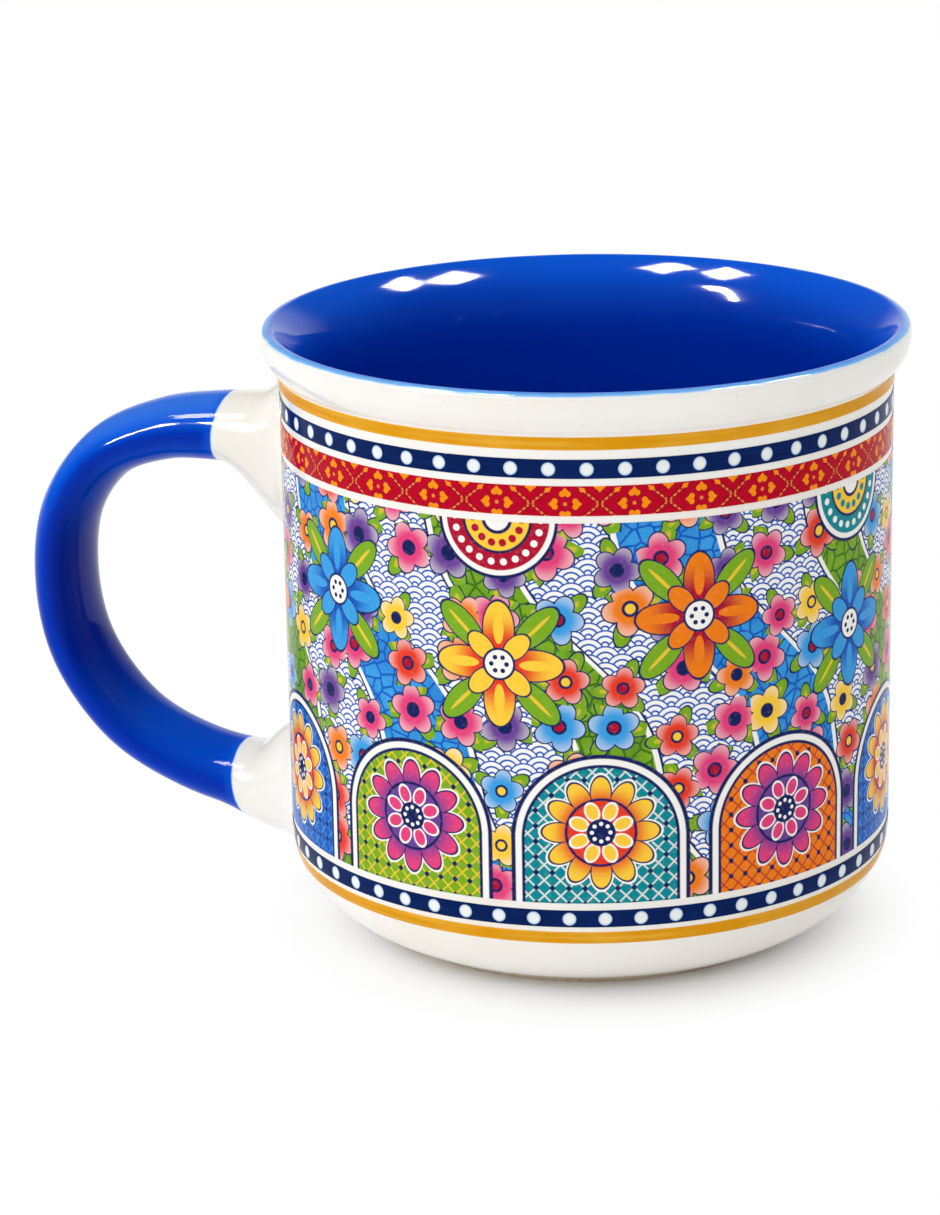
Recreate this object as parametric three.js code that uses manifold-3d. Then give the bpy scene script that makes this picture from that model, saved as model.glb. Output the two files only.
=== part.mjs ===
// A glazed stoneware mug with a rolled lip, a flared-root handle and fired transfer bands.
// Millimetres, +Z up. The mug stands on z = 0 and its handle points along -X.
import * as THREE from "three";
import { mergeVertices } from "three/addons/utils/BufferGeometryUtils.js";
import Module from "manifold-3d";

// Cup
const HEIGHT = 91.6;
const WALL_RADIUS = 44.9; // outside of the glazed wall
const WALL_THICKNESS = 4.0;
const LIP_OVERHANG = 2.6; // how far the rolled lip stands out from the wall
const LIP_ROLL = 1.15; // radius of the rounded edge on top of the lip
const LIP_SLOPE = 10.0; // how far down the inside the lip's slope runs
const BELLY_HEIGHT = 15.5; // where the straight wall turns into the rounded bottom
const BELLY_DEPTH = 20.4; // how far the rounded bottom runs in towards the foot
const FLOOR_TOP = 6.5;
const INNER_CORNER = 13.5;

// Foot
const FOOT_OUTER = 31.3;
const FOOT_WIDTH = 3.9;
const FOOT_BEVEL = 0.6;
const RECESS_DEPTH = 2.5;
const BASE_GLAZE_MARGIN = 0.7; // bare clay left round the glazed disc in the recess
const GLAZE_END = 1.3; // height at which the outer glaze is wiped off the foot

// Coats
const GLAZE = 0.4;
const FILM = 0.16;
const CUT_GAP = 0.05; // clearance of the outer glaze round a handle root

// Printed bands: the upper ones hang from the rim, the lower ones stand on the foot plane
const GOLD_WIDTH = 1.9;
const UPPER_GOLD_DROP = 6.45;
const UPPER_DOTS_DROP = 9.66;
const UPPER_DOTS_WIDTH = 2.77;
const LATTICE_DROP = 13.4;
const LATTICE_WIDTH = 4.3;
const PICTURE_GAP = 1.0; // plain glaze above and below the picture wrap
const LOWER_DOTS_TOP = 16.42;
const LOWER_DOTS_WIDTH = 2.6;
const LOWER_GOLD_TOP = 13.07;

// Handle, over the glaze
const HANDLE_REACH = 39.2; // from the wall to the middle of the grip
const UPPER_ROOT_DROP = 19.4; // rim to the middle of the upper arm
const LOWER_ROOT_HEIGHT = 16.5;
const GRIP_RADIUS = 4.15; // in the handle's plane, half its thickness
const UPPER_ARM_RADIUS = 5.63;
const LOWER_ARM_RADIUS = 5.35;
const STRAP_RADIUS = 8.0; // across that plane, half the handle's width
const SIDE_FLARE = 1.8; // how far a root spreads sideways
const SIDE_FLARE_START = 14.0; // out from the wall, where that spread starts
const UPPER_RISE = 5.6; // how far the upper root spreads up the wall
const UPPER_RISE_START = 6.4;
const UPPER_FALL = 12.2; // how far it spreads down the wall, under the arm
const UPPER_FALL_START = 11.5;
const LOWER_RISE = 6.2;
const LOWER_RISE_START = 10.0;
const LOWER_FALL = 4.1;
const LOWER_FALL_START = 13.0;
const ROOT_DEPTH = 2.5; // inside the wall, where every spread has grown to the full
const UPPER_DIP = 11.1; // wall to the edge of the blue dip
const LOWER_DIP = 9.3;

// Fineness
const TURN_STEPS = 40;
const HANDLE_GAP_STEPS = 2; // steps left unprinted on each side of the handle
const RING_STEPS = 18;
const ROOT_STATIONS = 9;
const GRIP_STATIONS = 19;

const wasm = await Module();
wasm.setup();

// A closed geometry from points and triangles.
function geometryOf(points, triangles) {
  const geometry = new THREE.BufferGeometry();
  geometry.setAttribute("position", new THREE.Float32BufferAttribute(points, 3));
  geometry.setIndex(triangles);
  return geometry;
}

function solidOf(geometry) {
  const merged = mergeVertices(geometry, 1e-4);
  return new wasm.Manifold(
    new wasm.Mesh({
      numProp: 3,
      vertProperties: merged.attributes.position.array,
      triVerts: new Uint32Array(merged.index.array),
    }),
  );
}

function geometryFromSolid(solid) {
  const mesh = solid.getMesh();
  return geometryOf(Array.from(mesh.vertProperties), Array.from(mesh.triVerts));
}

// Turns a closed loop of [radius, height] points about Z, from one step to another.
// The loop runs so that the solid lies on its left, outwards along its underside first.
function turned(loop, firstStep = 0, lastStep = TURN_STEPS) {
  const whole = lastStep - firstStep === TURN_STEPS;
  const points = [];
  const triangles = [];
  const columns = whole ? TURN_STEPS : lastStep - firstStep + 1;
  const place = [];
  for (let column = 0; column < columns; column++) {
    const angle = (2 * Math.PI * (firstStep + column)) / TURN_STEPS;
    place.push(
      loop.map(([radius, height], row) => {
        if (radius === 0 && column > 0) return place[0][row];
        points.push(radius * Math.cos(angle), radius * Math.sin(angle), height);
        return points.length / 3 - 1;
      }),
    );
  }
  const add = (a, b, c) => {
    if (a !== b && b !== c && a !== c) triangles.push(a, b, c);
  };
  for (let column = 0; column < (whole ? columns : columns - 1); column++) {
    const here = place[column];
    const next = place[(column + 1) % columns];
    for (let row = 0; row < loop.length; row++) {
      const up = (row + 1) % loop.length;
      add(here[row], next[row], next[up]);
      add(here[row], next[up], here[up]);
    }
  }
  if (!whole) {
    const outline = loop.map(([radius, height]) => new THREE.Vector2(radius, height));
    for (const [a, b, c] of THREE.ShapeUtils.triangulateShape(outline, [])) {
      add(place[0][a], place[0][b], place[0][c]);
      add(place[columns - 1][a], place[columns - 1][c], place[columns - 1][b]);
    }
  }
  return geometryOf(points, triangles);
}

// The cup's skin
// Points run from the edge of the outer glaze at the foot, up the wall, over the lip and down inside.
const skin = [];
const mark = {};
function skinPoint(radius, height, name) {
  if (name) mark[name] = skin.length;
  skin.push([radius, height]);
}

// The rounded bottom is a quarter of an ellipse.
function bellyRadius(height) {
  const rise = 1 - height / BELLY_HEIGHT;
  const run = Math.sqrt(Math.max(0, 1 - rise * rise));
  return height >= BELLY_HEIGHT ? WALL_RADIUS : WALL_RADIUS - BELLY_DEPTH * (1 - run);
}

const rimTop = HEIGHT - LIP_ROLL;
const lowerGoldBottom = LOWER_GOLD_TOP - GOLD_WIDTH;
const lowerDotsBottom = LOWER_DOTS_TOP - LOWER_DOTS_WIDTH;
const upperGoldTop = HEIGHT - UPPER_GOLD_DROP;
const upperDotsTop = HEIGHT - UPPER_DOTS_DROP;
const latticeTop = HEIGHT - LATTICE_DROP;
const latticeBottom = latticeTop - LATTICE_WIDTH;

for (const share of [0, 0.2, 0.45, 0.72]) {
  const height = GLAZE_END + (lowerGoldBottom - GLAZE_END) * share;
  skinPoint(bellyRadius(height), height, share === 0 ? "foot" : "");
}
skinPoint(bellyRadius(lowerGoldBottom), lowerGoldBottom, "lowerGoldBottom");
skinPoint(bellyRadius(LOWER_GOLD_TOP), LOWER_GOLD_TOP, "lowerGoldTop");
skinPoint(bellyRadius(lowerDotsBottom), lowerDotsBottom, "lowerDotsBottom");
skinPoint(bellyRadius(LOWER_DOTS_TOP), LOWER_DOTS_TOP, "lowerDotsTop");
skinPoint(WALL_RADIUS, LOWER_DOTS_TOP + PICTURE_GAP, "pictureBottom");
skinPoint(WALL_RADIUS, latticeBottom - PICTURE_GAP, "pictureTop");
skinPoint(WALL_RADIUS, latticeBottom, "latticeBottom");
skinPoint(WALL_RADIUS, latticeTop, "latticeTop");
skinPoint(WALL_RADIUS, upperDotsTop - UPPER_DOTS_WIDTH, "upperDotsBottom");
skinPoint(WALL_RADIUS, upperDotsTop, "upperDotsTop");
skinPoint(WALL_RADIUS + LIP_OVERHANG * 0.04, upperGoldTop - GOLD_WIDTH, "upperGoldBottom");
skinPoint(WALL_RADIUS + LIP_OVERHANG * 0.16, upperGoldTop, "upperGoldTop");
// The lip swings out above the gold line and then stands nearly upright.
for (const [up, out] of [[0.2, 0.5], [0.52, 0.88], [0.8, 1], [1, 1]])
  skinPoint(WALL_RADIUS + LIP_OVERHANG * out, upperGoldTop + (rimTop - upperGoldTop) * up);
const lipMiddle = WALL_RADIUS + LIP_OVERHANG - LIP_ROLL;
for (const [degrees, name] of [[22, "glazeMeeting"], [52, ""], [90, ""], [125, ""]]) {
  const turn = THREE.MathUtils.degToRad(degrees);
  skinPoint(lipMiddle + LIP_ROLL * Math.cos(turn), rimTop + LIP_ROLL * Math.sin(turn), name);
}
const innerRadius = WALL_RADIUS - WALL_THICKNESS;
const innerRun = lipMiddle - LIP_ROLL * 0.85 - innerRadius;
for (const [down, out] of [[0.07, 0.68], [0.28, 0.33], [0.58, 0.1], [1, 0]])
  skinPoint(innerRadius + innerRun * out, rimTop - LIP_SLOPE * down);
for (const degrees of [0, 25, 50, 72, 90]) {
  const turn = THREE.MathUtils.degToRad(degrees);
  const radius = innerRadius - INNER_CORNER * (1 - Math.cos(turn));
  skinPoint(radius, FLOOR_TOP + INNER_CORNER * (1 - Math.sin(turn)));
}
skinPoint(0, FLOOR_TOP, "floor");

// The skin moved along its normals: inwards for the clay, outwards for a printed film.
function shifted(distance) {
  return skin.map(([radius, height], index) => {
    const before = skin[Math.max(0, index - 1)];
    const after = skin[Math.min(skin.length - 1, index + 1)];
    const side = (from, to) => {
      const length = Math.hypot(to[0] - from[0], to[1] - from[1]);
      return [(to[1] - from[1]) / length, (from[0] - to[0]) / length];
    };
    const first = index > 0 ? side(before, [radius, height]) : side([radius, height], after);
    const second = index < skin.length - 1 ? side([radius, height], after) : first;
    const spread = 1 + first[0] * second[0] + first[1] * second[1];
    const move = [(first[0] + second[0]) / spread, (first[1] + second[1]) / spread];
    return [
      radius === 0 ? 0 : radius + distance * move[0],
      radius === 0 ? height + distance : height + distance * move[1],
    ];
  });
}
const clayEdge = shifted(-GLAZE);
const filmEdge = shifted(FILM);

// A coat over part of the skin: between the skin and an edge inside or outside it.
function coat(outside, inside, from, to) {
  return [...outside.slice(from, to + 1), ...inside.slice(from, to + 1).reverse()];
}

const footInner = FOOT_OUTER - FOOT_WIDTH;
const clayLoop = [
  [0, RECESS_DEPTH],
  [footInner - FOOT_BEVEL, RECESS_DEPTH],
  [footInner, 0],
  [FOOT_OUTER - FOOT_BEVEL, 0],
  [FOOT_OUTER, FOOT_BEVEL],
  ...clayEdge,
];
const baseGlazeRadius = footInner - FOOT_BEVEL - BASE_GLAZE_MARGIN;
const baseGlazeLoop = [
  [0, RECESS_DEPTH - GLAZE],
  [baseGlazeRadius, RECESS_DEPTH - GLAZE],
  [baseGlazeRadius, RECESS_DEPTH],
  [0, RECESS_DEPTH],
];
// The cup as one filled block, with and without its outer glaze, for cutting the handle to fit.
function block(edge) {
  const side = edge.slice(mark.foot, mark.glazeMeeting + 1);
  const low = side[0][1];
  return [[0, low], ...side, [0, side[side.length - 1][1]]];
}
const glazedBlock = solidOf(turned(block(skin)));
const clayBlock = solidOf(turned(block(clayEdge)));

// Handle
// The spine lies in the plane y = 0; out is measured from the wall, up from the lower arm.
const upperArm = HEIGHT - UPPER_ROOT_DROP;
const armGap = upperArm - LOWER_ROOT_HEIGHT;
const spinePoint = (out, up) =>
  new THREE.Vector3(-(WALL_RADIUS + HANDLE_REACH * out), 0, LOWER_ROOT_HEIGHT + armGap * up);
const spine = new THREE.CatmullRomCurve3(
  [
    spinePoint(-0.15, 1.0),
    spinePoint(0.04, 1.0),
    spinePoint(0.18, 1.0),
    spinePoint(0.34, 1.0),
    spinePoint(0.54, 0.985),
    spinePoint(0.785, 0.913),
    spinePoint(0.955, 0.755),
    spinePoint(1.0, 0.545),
    spinePoint(0.94, 0.335),
    spinePoint(0.74, 0.145),
    spinePoint(0.48, 0.045),
    spinePoint(0.2, 0.0),
    spinePoint(0.04, 0.0),
    spinePoint(-0.15, 0.0),
  ],
  false,
  "centripetal",
);

// The share of the spine at which it crosses a distance out from the wall.
function crossing(out, low, high) {
  const rising = spine.getPointAt(low).x > spine.getPointAt(high).x;
  for (let pass = 0; pass < 50; pass++) {
    const middle = (low + high) / 2;
    const beyond = -spine.getPointAt(middle).x - WALL_RADIUS > out;
    if (beyond === rising) high = middle;
    else low = middle;
  }
  return (low + high) / 2;
}
const upperSplit = crossing(UPPER_DIP, 0, 0.45);
const lowerSplit = crossing(LOWER_DIP, 0.55, 1);

const stations = [];
for (let step = 0; step < ROOT_STATIONS; step++) stations.push((upperSplit * step) / ROOT_STATIONS);
for (let step = 0; step < GRIP_STATIONS; step++)
  stations.push(upperSplit + ((lowerSplit - upperSplit) * step) / GRIP_STATIONS);
for (let step = 0; step <= ROOT_STATIONS; step++)
  stations.push(lowerSplit + ((1 - lowerSplit) * step) / ROOT_STATIONS);

// How far a root has spread at a distance out from the wall.
function spread(out, start, amount) {
  return amount * THREE.MathUtils.smoothstep((start - out) / (start + ROOT_DEPTH), 0, 1);
}

// One ring of points round the spine, grown outwards by an amount over the clay.
// It is taller on one side of the spine than on the other where a root spreads.
function ring(share, growth) {
  const middle = spine.getPointAt(share);
  const along = spine.getTangentAt(share);
  const inPlane = new THREE.Vector3(along.z, 0, -along.x);
  const out = -middle.x - WALL_RADIUS;
  const arm = Math.min(1, Math.abs(2 * share - 1.0) * 1.25) ** 3;
  const upper = share < 0.5;
  const armRadius = upper ? UPPER_ARM_RADIUS : LOWER_ARM_RADIUS;
  const rod = GRIP_RADIUS + (armRadius - GRIP_RADIUS) * arm - GLAZE + growth;
  const rise = upper ? spread(out, UPPER_RISE_START, UPPER_RISE) : spread(out, LOWER_RISE_START, LOWER_RISE);
  const fall = upper ? spread(out, UPPER_FALL_START, UPPER_FALL) : spread(out, LOWER_FALL_START, LOWER_FALL);
  const wide = STRAP_RADIUS + spread(out, SIDE_FLARE_START, SIDE_FLARE) - GLAZE + growth;
  const points = [];
  for (let step = 0; step < RING_STEPS; step++) {
    const turn = (2 * Math.PI * step) / RING_STEPS;
    const upwards = inPlane.z * Math.cos(turn) > 0;
    const tall = (rod + (upwards ? rise : fall)) * Math.cos(turn);
    points.push([middle.x + inPlane.x * tall, wide * Math.sin(turn), middle.z + inPlane.z * tall]);
  }
  return points;
}

function joinRings(rings, triangles, inwards) {
  for (let station = 0; station < rings.length - 1; station++)
    for (let step = 0; step < RING_STEPS; step++) {
      const next = (step + 1) % RING_STEPS;
      const [a, b] = [rings[station][step], rings[station][next]];
      const [c, d] = [rings[station + 1][step], rings[station + 1][next]];
      if (inwards) triangles.push(a, d, b, a, c, d);
      else triangles.push(a, b, d, a, d, c);
    }
}

function layRings(points, from, to, growth) {
  return stations.slice(from, to + 1).map((share) =>
    ring(share, growth).map((point) => {
      points.push(...point);
      return points.length / 3 - 1;
    }),
  );
}

function rod(growth) {
  const points = [];
  const triangles = [];
  const rings = layRings(points, 0, stations.length - 1, growth);
  joinRings(rings, triangles, false);
  const [first, last] = [rings[0], rings[rings.length - 1]];
  for (let step = 1; step < RING_STEPS - 1; step++) {
    triangles.push(first[0], first[step + 1], first[step]);
    triangles.push(last[0], last[step], last[step + 1]);
  }
  return solidOf(geometryOf(points, triangles));
}

function sleeve(from, to) {
  const points = [];
  const triangles = [];
  const outside = layRings(points, from, to, GLAZE);
  const inside = layRings(points, from, to, 0);
  joinRings(outside, triangles, false);
  joinRings(inside, triangles, true);
  const last = outside.length - 1;
  for (let step = 0; step < RING_STEPS; step++) {
    const next = (step + 1) % RING_STEPS;
    triangles.push(outside[0][step], inside[0][step], inside[0][next]);
    triangles.push(outside[0][step], inside[0][next], outside[0][next]);
    triangles.push(outside[last][step], inside[last][next], inside[last][step]);
    triangles.push(outside[last][step], outside[last][next], inside[last][next]);
  }
  return solidOf(geometryOf(points, triangles));
}

const rootCore = rod(0);
const [upperPad, lowerPad] = rootCore
  .intersect(glazedBlock)
  .subtract(clayBlock)
  .decompose()
  .sort((one, other) => other.boundingBox().max[2] - one.boundingBox().max[2]);
const upperSplitStation = ROOT_STATIONS;
const lowerSplitStation = ROOT_STATIONS + GRIP_STATIONS;
const lastStation = stations.length - 1;

// Pieces
const mug = new THREE.Group();
mug.name = "mug";

function piece(name, geometry, color, roughness) {
  const material = new THREE.MeshStandardMaterial({ color, roughness, metalness: 0 });
  const mesh = new THREE.Mesh(geometry, material);
  mesh.name = name;
  mug.add(mesh);
}

const printFirst = TURN_STEPS / 2 + HANDLE_GAP_STEPS - TURN_STEPS;
const printLast = TURN_STEPS / 2 - HANDLE_GAP_STEPS;
const film = (low, high) => turned(coat(filmEdge, skin, mark[low], mark[high]), printFirst, printLast);
const ringFilm = (low, high) => turned(coat(filmEdge, skin, mark[low], mark[high]));

const CREAM = "#efeae0";
const BLUE = "#0b3fae";
const CLAY = "#cdb79a";
const GOLD = "#dd9a1c";
const NAVY = "#10305f";
const RED = "#c3172f";

piece("clay_body", turned(clayLoop), CLAY, 0.85);
const outerCoat = solidOf(turned(coat(skin, clayEdge, mark.foot, mark.glazeMeeting)));
piece("outer_glaze", geometryFromSolid(outerCoat.subtract(rod(CUT_GAP))), CREAM, 0.15);
piece("liner_glaze", turned(coat(skin, clayEdge, mark.glazeMeeting, mark.floor)), BLUE, 0.12);
piece("base_glaze", turned(baseGlazeLoop), CREAM, 0.2);

piece("handle_clay", geometryFromSolid(rootCore.subtract(glazedBlock)), CLAY, 0.85);
piece("upper_slip_joint", geometryFromSolid(upperPad), CLAY, 0.9);
piece("lower_slip_joint", geometryFromSolid(lowerPad), CLAY, 0.9);
const upperSleeve = sleeve(0, upperSplitStation).subtract(glazedBlock);
const lowerSleeve = sleeve(lowerSplitStation, lastStation).subtract(glazedBlock);
piece("upper_root_glaze", geometryFromSolid(upperSleeve), CREAM, 0.15);
piece("lower_root_glaze", geometryFromSolid(lowerSleeve), CREAM, 0.15);
piece("grip_glaze", geometryFromSolid(sleeve(upperSplitStation, lowerSplitStation)), BLUE, 0.12);

piece("upper_gold_line", ringFilm("upperGoldBottom", "upperGoldTop"), GOLD, 0.35);
piece("upper_dotted_band", film("upperDotsBottom", "upperDotsTop"), NAVY, 0.25);
piece("lattice_band", film("latticeBottom", "latticeTop"), RED, 0.25);
piece("picture_wrap", film("pictureBottom", "pictureTop"), CREAM, 0.22);
piece("lower_dotted_band", film("lowerDotsBottom", "lowerDotsTop"), NAVY, 0.25);
piece("lower_gold_line", film("lowerGoldBottom", "lowerGoldTop"), GOLD, 0.35);

// The middle of the mug's box, handle and all, stands over the origin.
const middle = new THREE.Box3().setFromObject(mug).getCenter(new THREE.Vector3());
mug.children.forEach((mesh) => mesh.position.setX(-middle.x));

export default mug;
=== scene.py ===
"""A glazed stoneware mug with a rolled lip, a dipped handle and fired printed bands.

Smooth skins, glaze sleeves and printed films are laid over the packed solids, in the same frame.
Sizes in the functions are millimetres; meshes are made in metres.
"""

import bisect
import math

import bmesh
import bpy
from bpy.props import FloatProperty, FloatVectorProperty, IntProperty, PointerProperty
from bpy.types import Operator, Panel, PropertyGroup
from mathutils import Matrix, Vector


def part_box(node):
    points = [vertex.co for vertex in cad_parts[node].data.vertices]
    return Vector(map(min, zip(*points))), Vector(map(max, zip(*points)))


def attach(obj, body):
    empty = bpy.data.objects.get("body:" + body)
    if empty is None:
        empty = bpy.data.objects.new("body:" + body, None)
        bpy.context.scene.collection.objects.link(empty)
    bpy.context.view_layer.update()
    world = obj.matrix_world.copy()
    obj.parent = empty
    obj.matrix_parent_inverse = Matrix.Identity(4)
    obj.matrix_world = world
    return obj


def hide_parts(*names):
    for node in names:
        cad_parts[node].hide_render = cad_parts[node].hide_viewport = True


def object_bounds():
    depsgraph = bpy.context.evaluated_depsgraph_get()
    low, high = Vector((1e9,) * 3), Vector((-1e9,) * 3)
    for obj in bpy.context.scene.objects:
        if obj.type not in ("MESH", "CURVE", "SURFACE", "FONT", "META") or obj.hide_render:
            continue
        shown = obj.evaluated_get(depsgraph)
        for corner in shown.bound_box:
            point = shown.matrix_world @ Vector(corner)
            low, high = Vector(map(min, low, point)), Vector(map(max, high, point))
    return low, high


bl_info = {
    "name": "Printed stoneware mug",
    "version": (1, 0, 0),
    "blender": (4, 5, 0),
    "location": "View3D > Sidebar > Mug",
    "description": "Dresses a packed mug with glazes, printed bands and a studio stage",
    "category": "Add Mesh",
}

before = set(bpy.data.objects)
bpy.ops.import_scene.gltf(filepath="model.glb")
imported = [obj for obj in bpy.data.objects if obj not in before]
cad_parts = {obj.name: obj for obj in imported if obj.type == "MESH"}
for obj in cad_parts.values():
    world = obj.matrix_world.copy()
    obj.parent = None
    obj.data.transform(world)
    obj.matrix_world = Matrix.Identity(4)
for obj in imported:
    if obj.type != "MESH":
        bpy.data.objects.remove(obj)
CAD_LOW, CAD_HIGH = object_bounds()

MM = 0.001
BODY = "root"
PRINT_MAP = "print_mm"  # where each corner lies on its piece, in millimetres
BAKE_MAP = "OFBake"


def span(node, axis):
    """The lowest and highest places of a node along an axis, in millimetres."""
    low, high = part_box(node)
    return low[axis] / MM, high[axis] / MM


# Places read from the packed solids
AXIS_X = sum(span("liner_glaze", 0)) / 2
HEIGHT = CAD_HIGH.z / MM
LIP_RADIUS = span("outer_glaze", 1)[1]
PICTURE_RADIUS = span("picture_wrap", 1)[1]
FLOOR_UNDERSIDE = span("liner_glaze", 2)[0]
GLAZE_END = span("outer_glaze", 2)[0]
BASE_GLAZE_RADIUS = span("base_glaze", 1)[1]
BASE_GLAZE_LOW, RECESS_TOP = span("base_glaze", 2)
GRIP_END = span("grip_glaze", 0)[0]

# Where the prints start and end round the cup, in degrees; they leave a gap for the handle
PRINT_FIRST = -162.0
PRINT_LAST = 162.0

# Places on the lip's roll, in degrees up from its outer side
GLAZE_MEETING = 22  # where the outer glaze meets the liner
THIN_GLAZE_END = 92  # where the liner is no longer thin
ROLL_END = 125  # where the roll runs out into the lip's slope

# Shared by several finishes
FILM_GLOSS = 0.035
POOL_SIZE = 0.018  # metres across the places where the blue glaze lies thicker
RIPPLE_SIZE = 0.007  # metres from ripple to ripple in the blue glaze

# Fineness of the meshes
TURNS = 192
RING_COLUMNS = 216
BAND_COLUMNS = 204
BAND_ROWS = 6
WRAP_ROWS = 12
AROUND_HANDLE = 72
ROOT_STEPS = 30
GRIP_STEPS = 96
ROUTE_STEPS = 60
HALVINGS = 40
BAKE_MARGIN = 0.02
SHARP_ANGLE = math.radians(38)
HAIR = 0.02  # millimetres by which the smooth handle stays inside the solid's box


def linear(red, green, blue):
    """A colour as the shaders take it, from the 0 to 255 numbers of a screen colour."""

    def channel(level):
        share = level / 255
        return share / 12.92 if share <= 0.04045 else ((share + 0.055) / 1.055) ** 2.4

    return channel(red), channel(green), channel(blue)


def length(name, description, millimetres):
    """A size that a user may set."""
    return FloatProperty(
        name=name,
        description=description,
        default=millimetres * MM,
        min=0,
        precision=5,
        unit="LENGTH",
        subtype="DISTANCE",
    )


def turn(name, description, degrees):
    """An angle that a user may set."""
    return FloatProperty(
        name=name,
        description=description,
        default=math.radians(degrees),
        unit="ROTATION",
        subtype="ANGLE",
    )


def share(name, description, amount):
    """A plain number that a user may set."""
    return FloatProperty(name=name, description=description, default=amount, min=0, subtype="FACTOR")


def count(name, description, amount):
    """A whole number that a user may set."""
    return IntProperty(name=name, description=description, default=amount, min=1)


def colour(name, description, red, green, blue):
    """A colour that a user may set, given as a screen colour."""
    return FloatVectorProperty(
        name=name,
        description=description,
        default=linear(red, green, blue),
        min=0,
        max=1,
        size=3,
        subtype="COLOR",
    )


class MugCupSizes(PropertyGroup):
    """Sizes of the cup and of the coats on it."""

    film: length("Film", "Thickness of a fired print over the glaze", 0.16)
    glaze: length("Glaze", "Thickness of the glaze over the clay", 0.4)
    wall: length("Wall", "Thickness of the wall", 4.0)
    lip_overhang: length("Lip overhang", "How far the lip stands out from the wall", 2.6)
    lip_roll: length("Lip roll", "Radius of the rounded edge on top of the lip", 1.15)
    lip_slope: length("Lip slope", "How far down the inside the lip's slope runs", 10.0)
    neck: length("Neck", "Height below the rim at which the wall starts to flare", 9.66)
    belly_height: length("Belly height", "Where the wall turns into the rounded bottom", 15.5)
    belly_depth: length("Belly depth", "How far the rounded bottom runs in", 20.4)
    inner_corner: length("Inner corner", "Radius between the inside wall and the floor", 13.5)
    foot_outer: length("Foot", "Outside radius of the foot ring", 31.3)
    foot_width: length("Foot width", "Width of the foot ring", 3.9)
    foot_bevel: length("Foot bevel", "Bevel of the foot ring's edges", 0.6)


class MugHandleSizes(PropertyGroup):
    """Sizes of the handle over its glaze."""

    upper_arm: length("Upper arm", "Height of the middle of the upper arm", 72.2)
    lower_arm: length("Lower arm", "Height of the middle of the lower arm", 16.5)
    grip: length("Grip", "Half the grip's thickness in the handle's plane", 4.15)
    upper_radius: length("Upper radius", "Half the upper arm's thickness in that plane", 5.63)
    lower_radius: length("Lower radius", "Half the lower arm's thickness in that plane", 5.35)
    strap: length("Strap", "Half the handle's width across its plane", 8.0)
    side_flare: length("Side flare", "How far a root spreads sideways", 1.8)
    side_flare_start: length("Side flare start", "Out from the wall, where that spread starts", 14.0)
    upper_rise: length("Upper rise", "How far the upper root spreads up the wall", 5.6)
    upper_rise_start: length("Upper rise start", "Out from the wall, where that spread starts", 6.4)
    upper_fall: length("Upper fall", "How far the upper root spreads down the wall", 12.2)
    upper_fall_start: length("Upper fall start", "Out from the wall, where that spread starts", 11.5)
    lower_rise: length("Lower rise", "How far the lower root spreads up the wall", 6.2)
    lower_rise_start: length("Lower rise start", "Out from the wall, where that spread starts", 10.0)
    lower_fall: length("Lower fall", "How far the lower root spreads down the wall", 4.1)
    lower_fall_start: length("Lower fall start", "Out from the wall, where that spread starts", 13.0)
    root_depth: length("Root depth", "Inside the wall, where every spread is full", 2.5)
    fillet: length("Fillet", "Spread of the last soft turn into the wall", 0.7)
    fillet_length: length("Fillet length", "Distance from the wall over which it turns", 2.0)
    upper_dip: length("Upper dip", "Wall to the edge of the blue dip, upper arm", 10.85)
    lower_dip: length("Lower dip", "Wall to the edge of the blue dip, lower arm", 9.3)
    upper_dip_lean: length("Upper dip lean", "How far the edge leans to the cup, outer side", 0.5)
    lower_dip_lean: length("Lower dip lean", "How far the edge leans to the cup, outer side", 0.95)


class MugPrintSizes(PropertyGroup):
    """Sizes of the repeats in the printed bands."""

    dot: length("Dot", "Diameter of a white dot", 1.88)
    upper_dot_pitch: turn("Upper dot pitch", "Turn from dot to dot, upper band", 6.704)
    upper_dot_start: turn("Upper dot start", "Where a dot of the upper band stands", -74.0)
    lower_dot_pitch: turn("Lower dot pitch", "Turn from dot to dot, lower band", 6.461)
    lower_dot_start: turn("Lower dot start", "Where a dot of the lower band stands", -77.837)
    lattice_pitch: length("Lattice pitch", "Width of a lattice diamond", 9.5)
    lattice_rise: length("Lattice rise", "Half the height of a lattice diamond", 3.96)
    lattice_middle: length("Lattice middle", "Height of the diamonds' middles in the band", 1.78)
    lattice_start: turn("Lattice start", "Where a diamond's middle stands", -77.8)
    panels: count("Panels", "How many arched panels the picture wrap holds", 9)
    blossom_pitch: length("Blossom pitch", "Distance from blossom to blossom", 7.9)
    tile_pitch: length("Tile pitch", "Distance from tile to tile in the ribbons", 2.1)
    star_swing: length("Star swing", "How much higher every other star flower stands", 6.5)


class MugGlazeColours(PropertyGroup):
    """Colours of the clay and the glazes."""

    clay: colour("Clay", "Bare fired clay of the foot", 214, 196, 168)
    cream: colour("Cream", "Cream glaze", 248, 246, 241)
    cream_shade: colour("Cream shade", "Cream glaze where it lies thicker", 242, 238, 229)
    blue: colour("Blue", "Royal blue glaze", 1, 52, 182)
    # Deep blue is painted shade: darker blue deep inside the cup and on the grip's side that faces the cup.
    blue_shade: colour("Deep blue", "Royal blue glaze where it lies thicker", 1, 29, 130)
    # Azure is painted light inside the cup near the rim and on top of the grip, a painted reflection of the
    # floor under the grip, and glaze running thin near the dip's edges.
    azure: colour("Azure", "Royal blue glaze where it lies thinner", 10, 92, 222)
    # Pale blue: paler blue over the lip, and a painted highlight along the top of the grip's upper arm.
    pale_blue: colour("Thin blue", "Royal blue glaze where it runs thin", 118, 184, 250)
    dip_edge: colour("Dip edge", "The pale line at the edge of the dip", 226, 240, 250)


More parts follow.
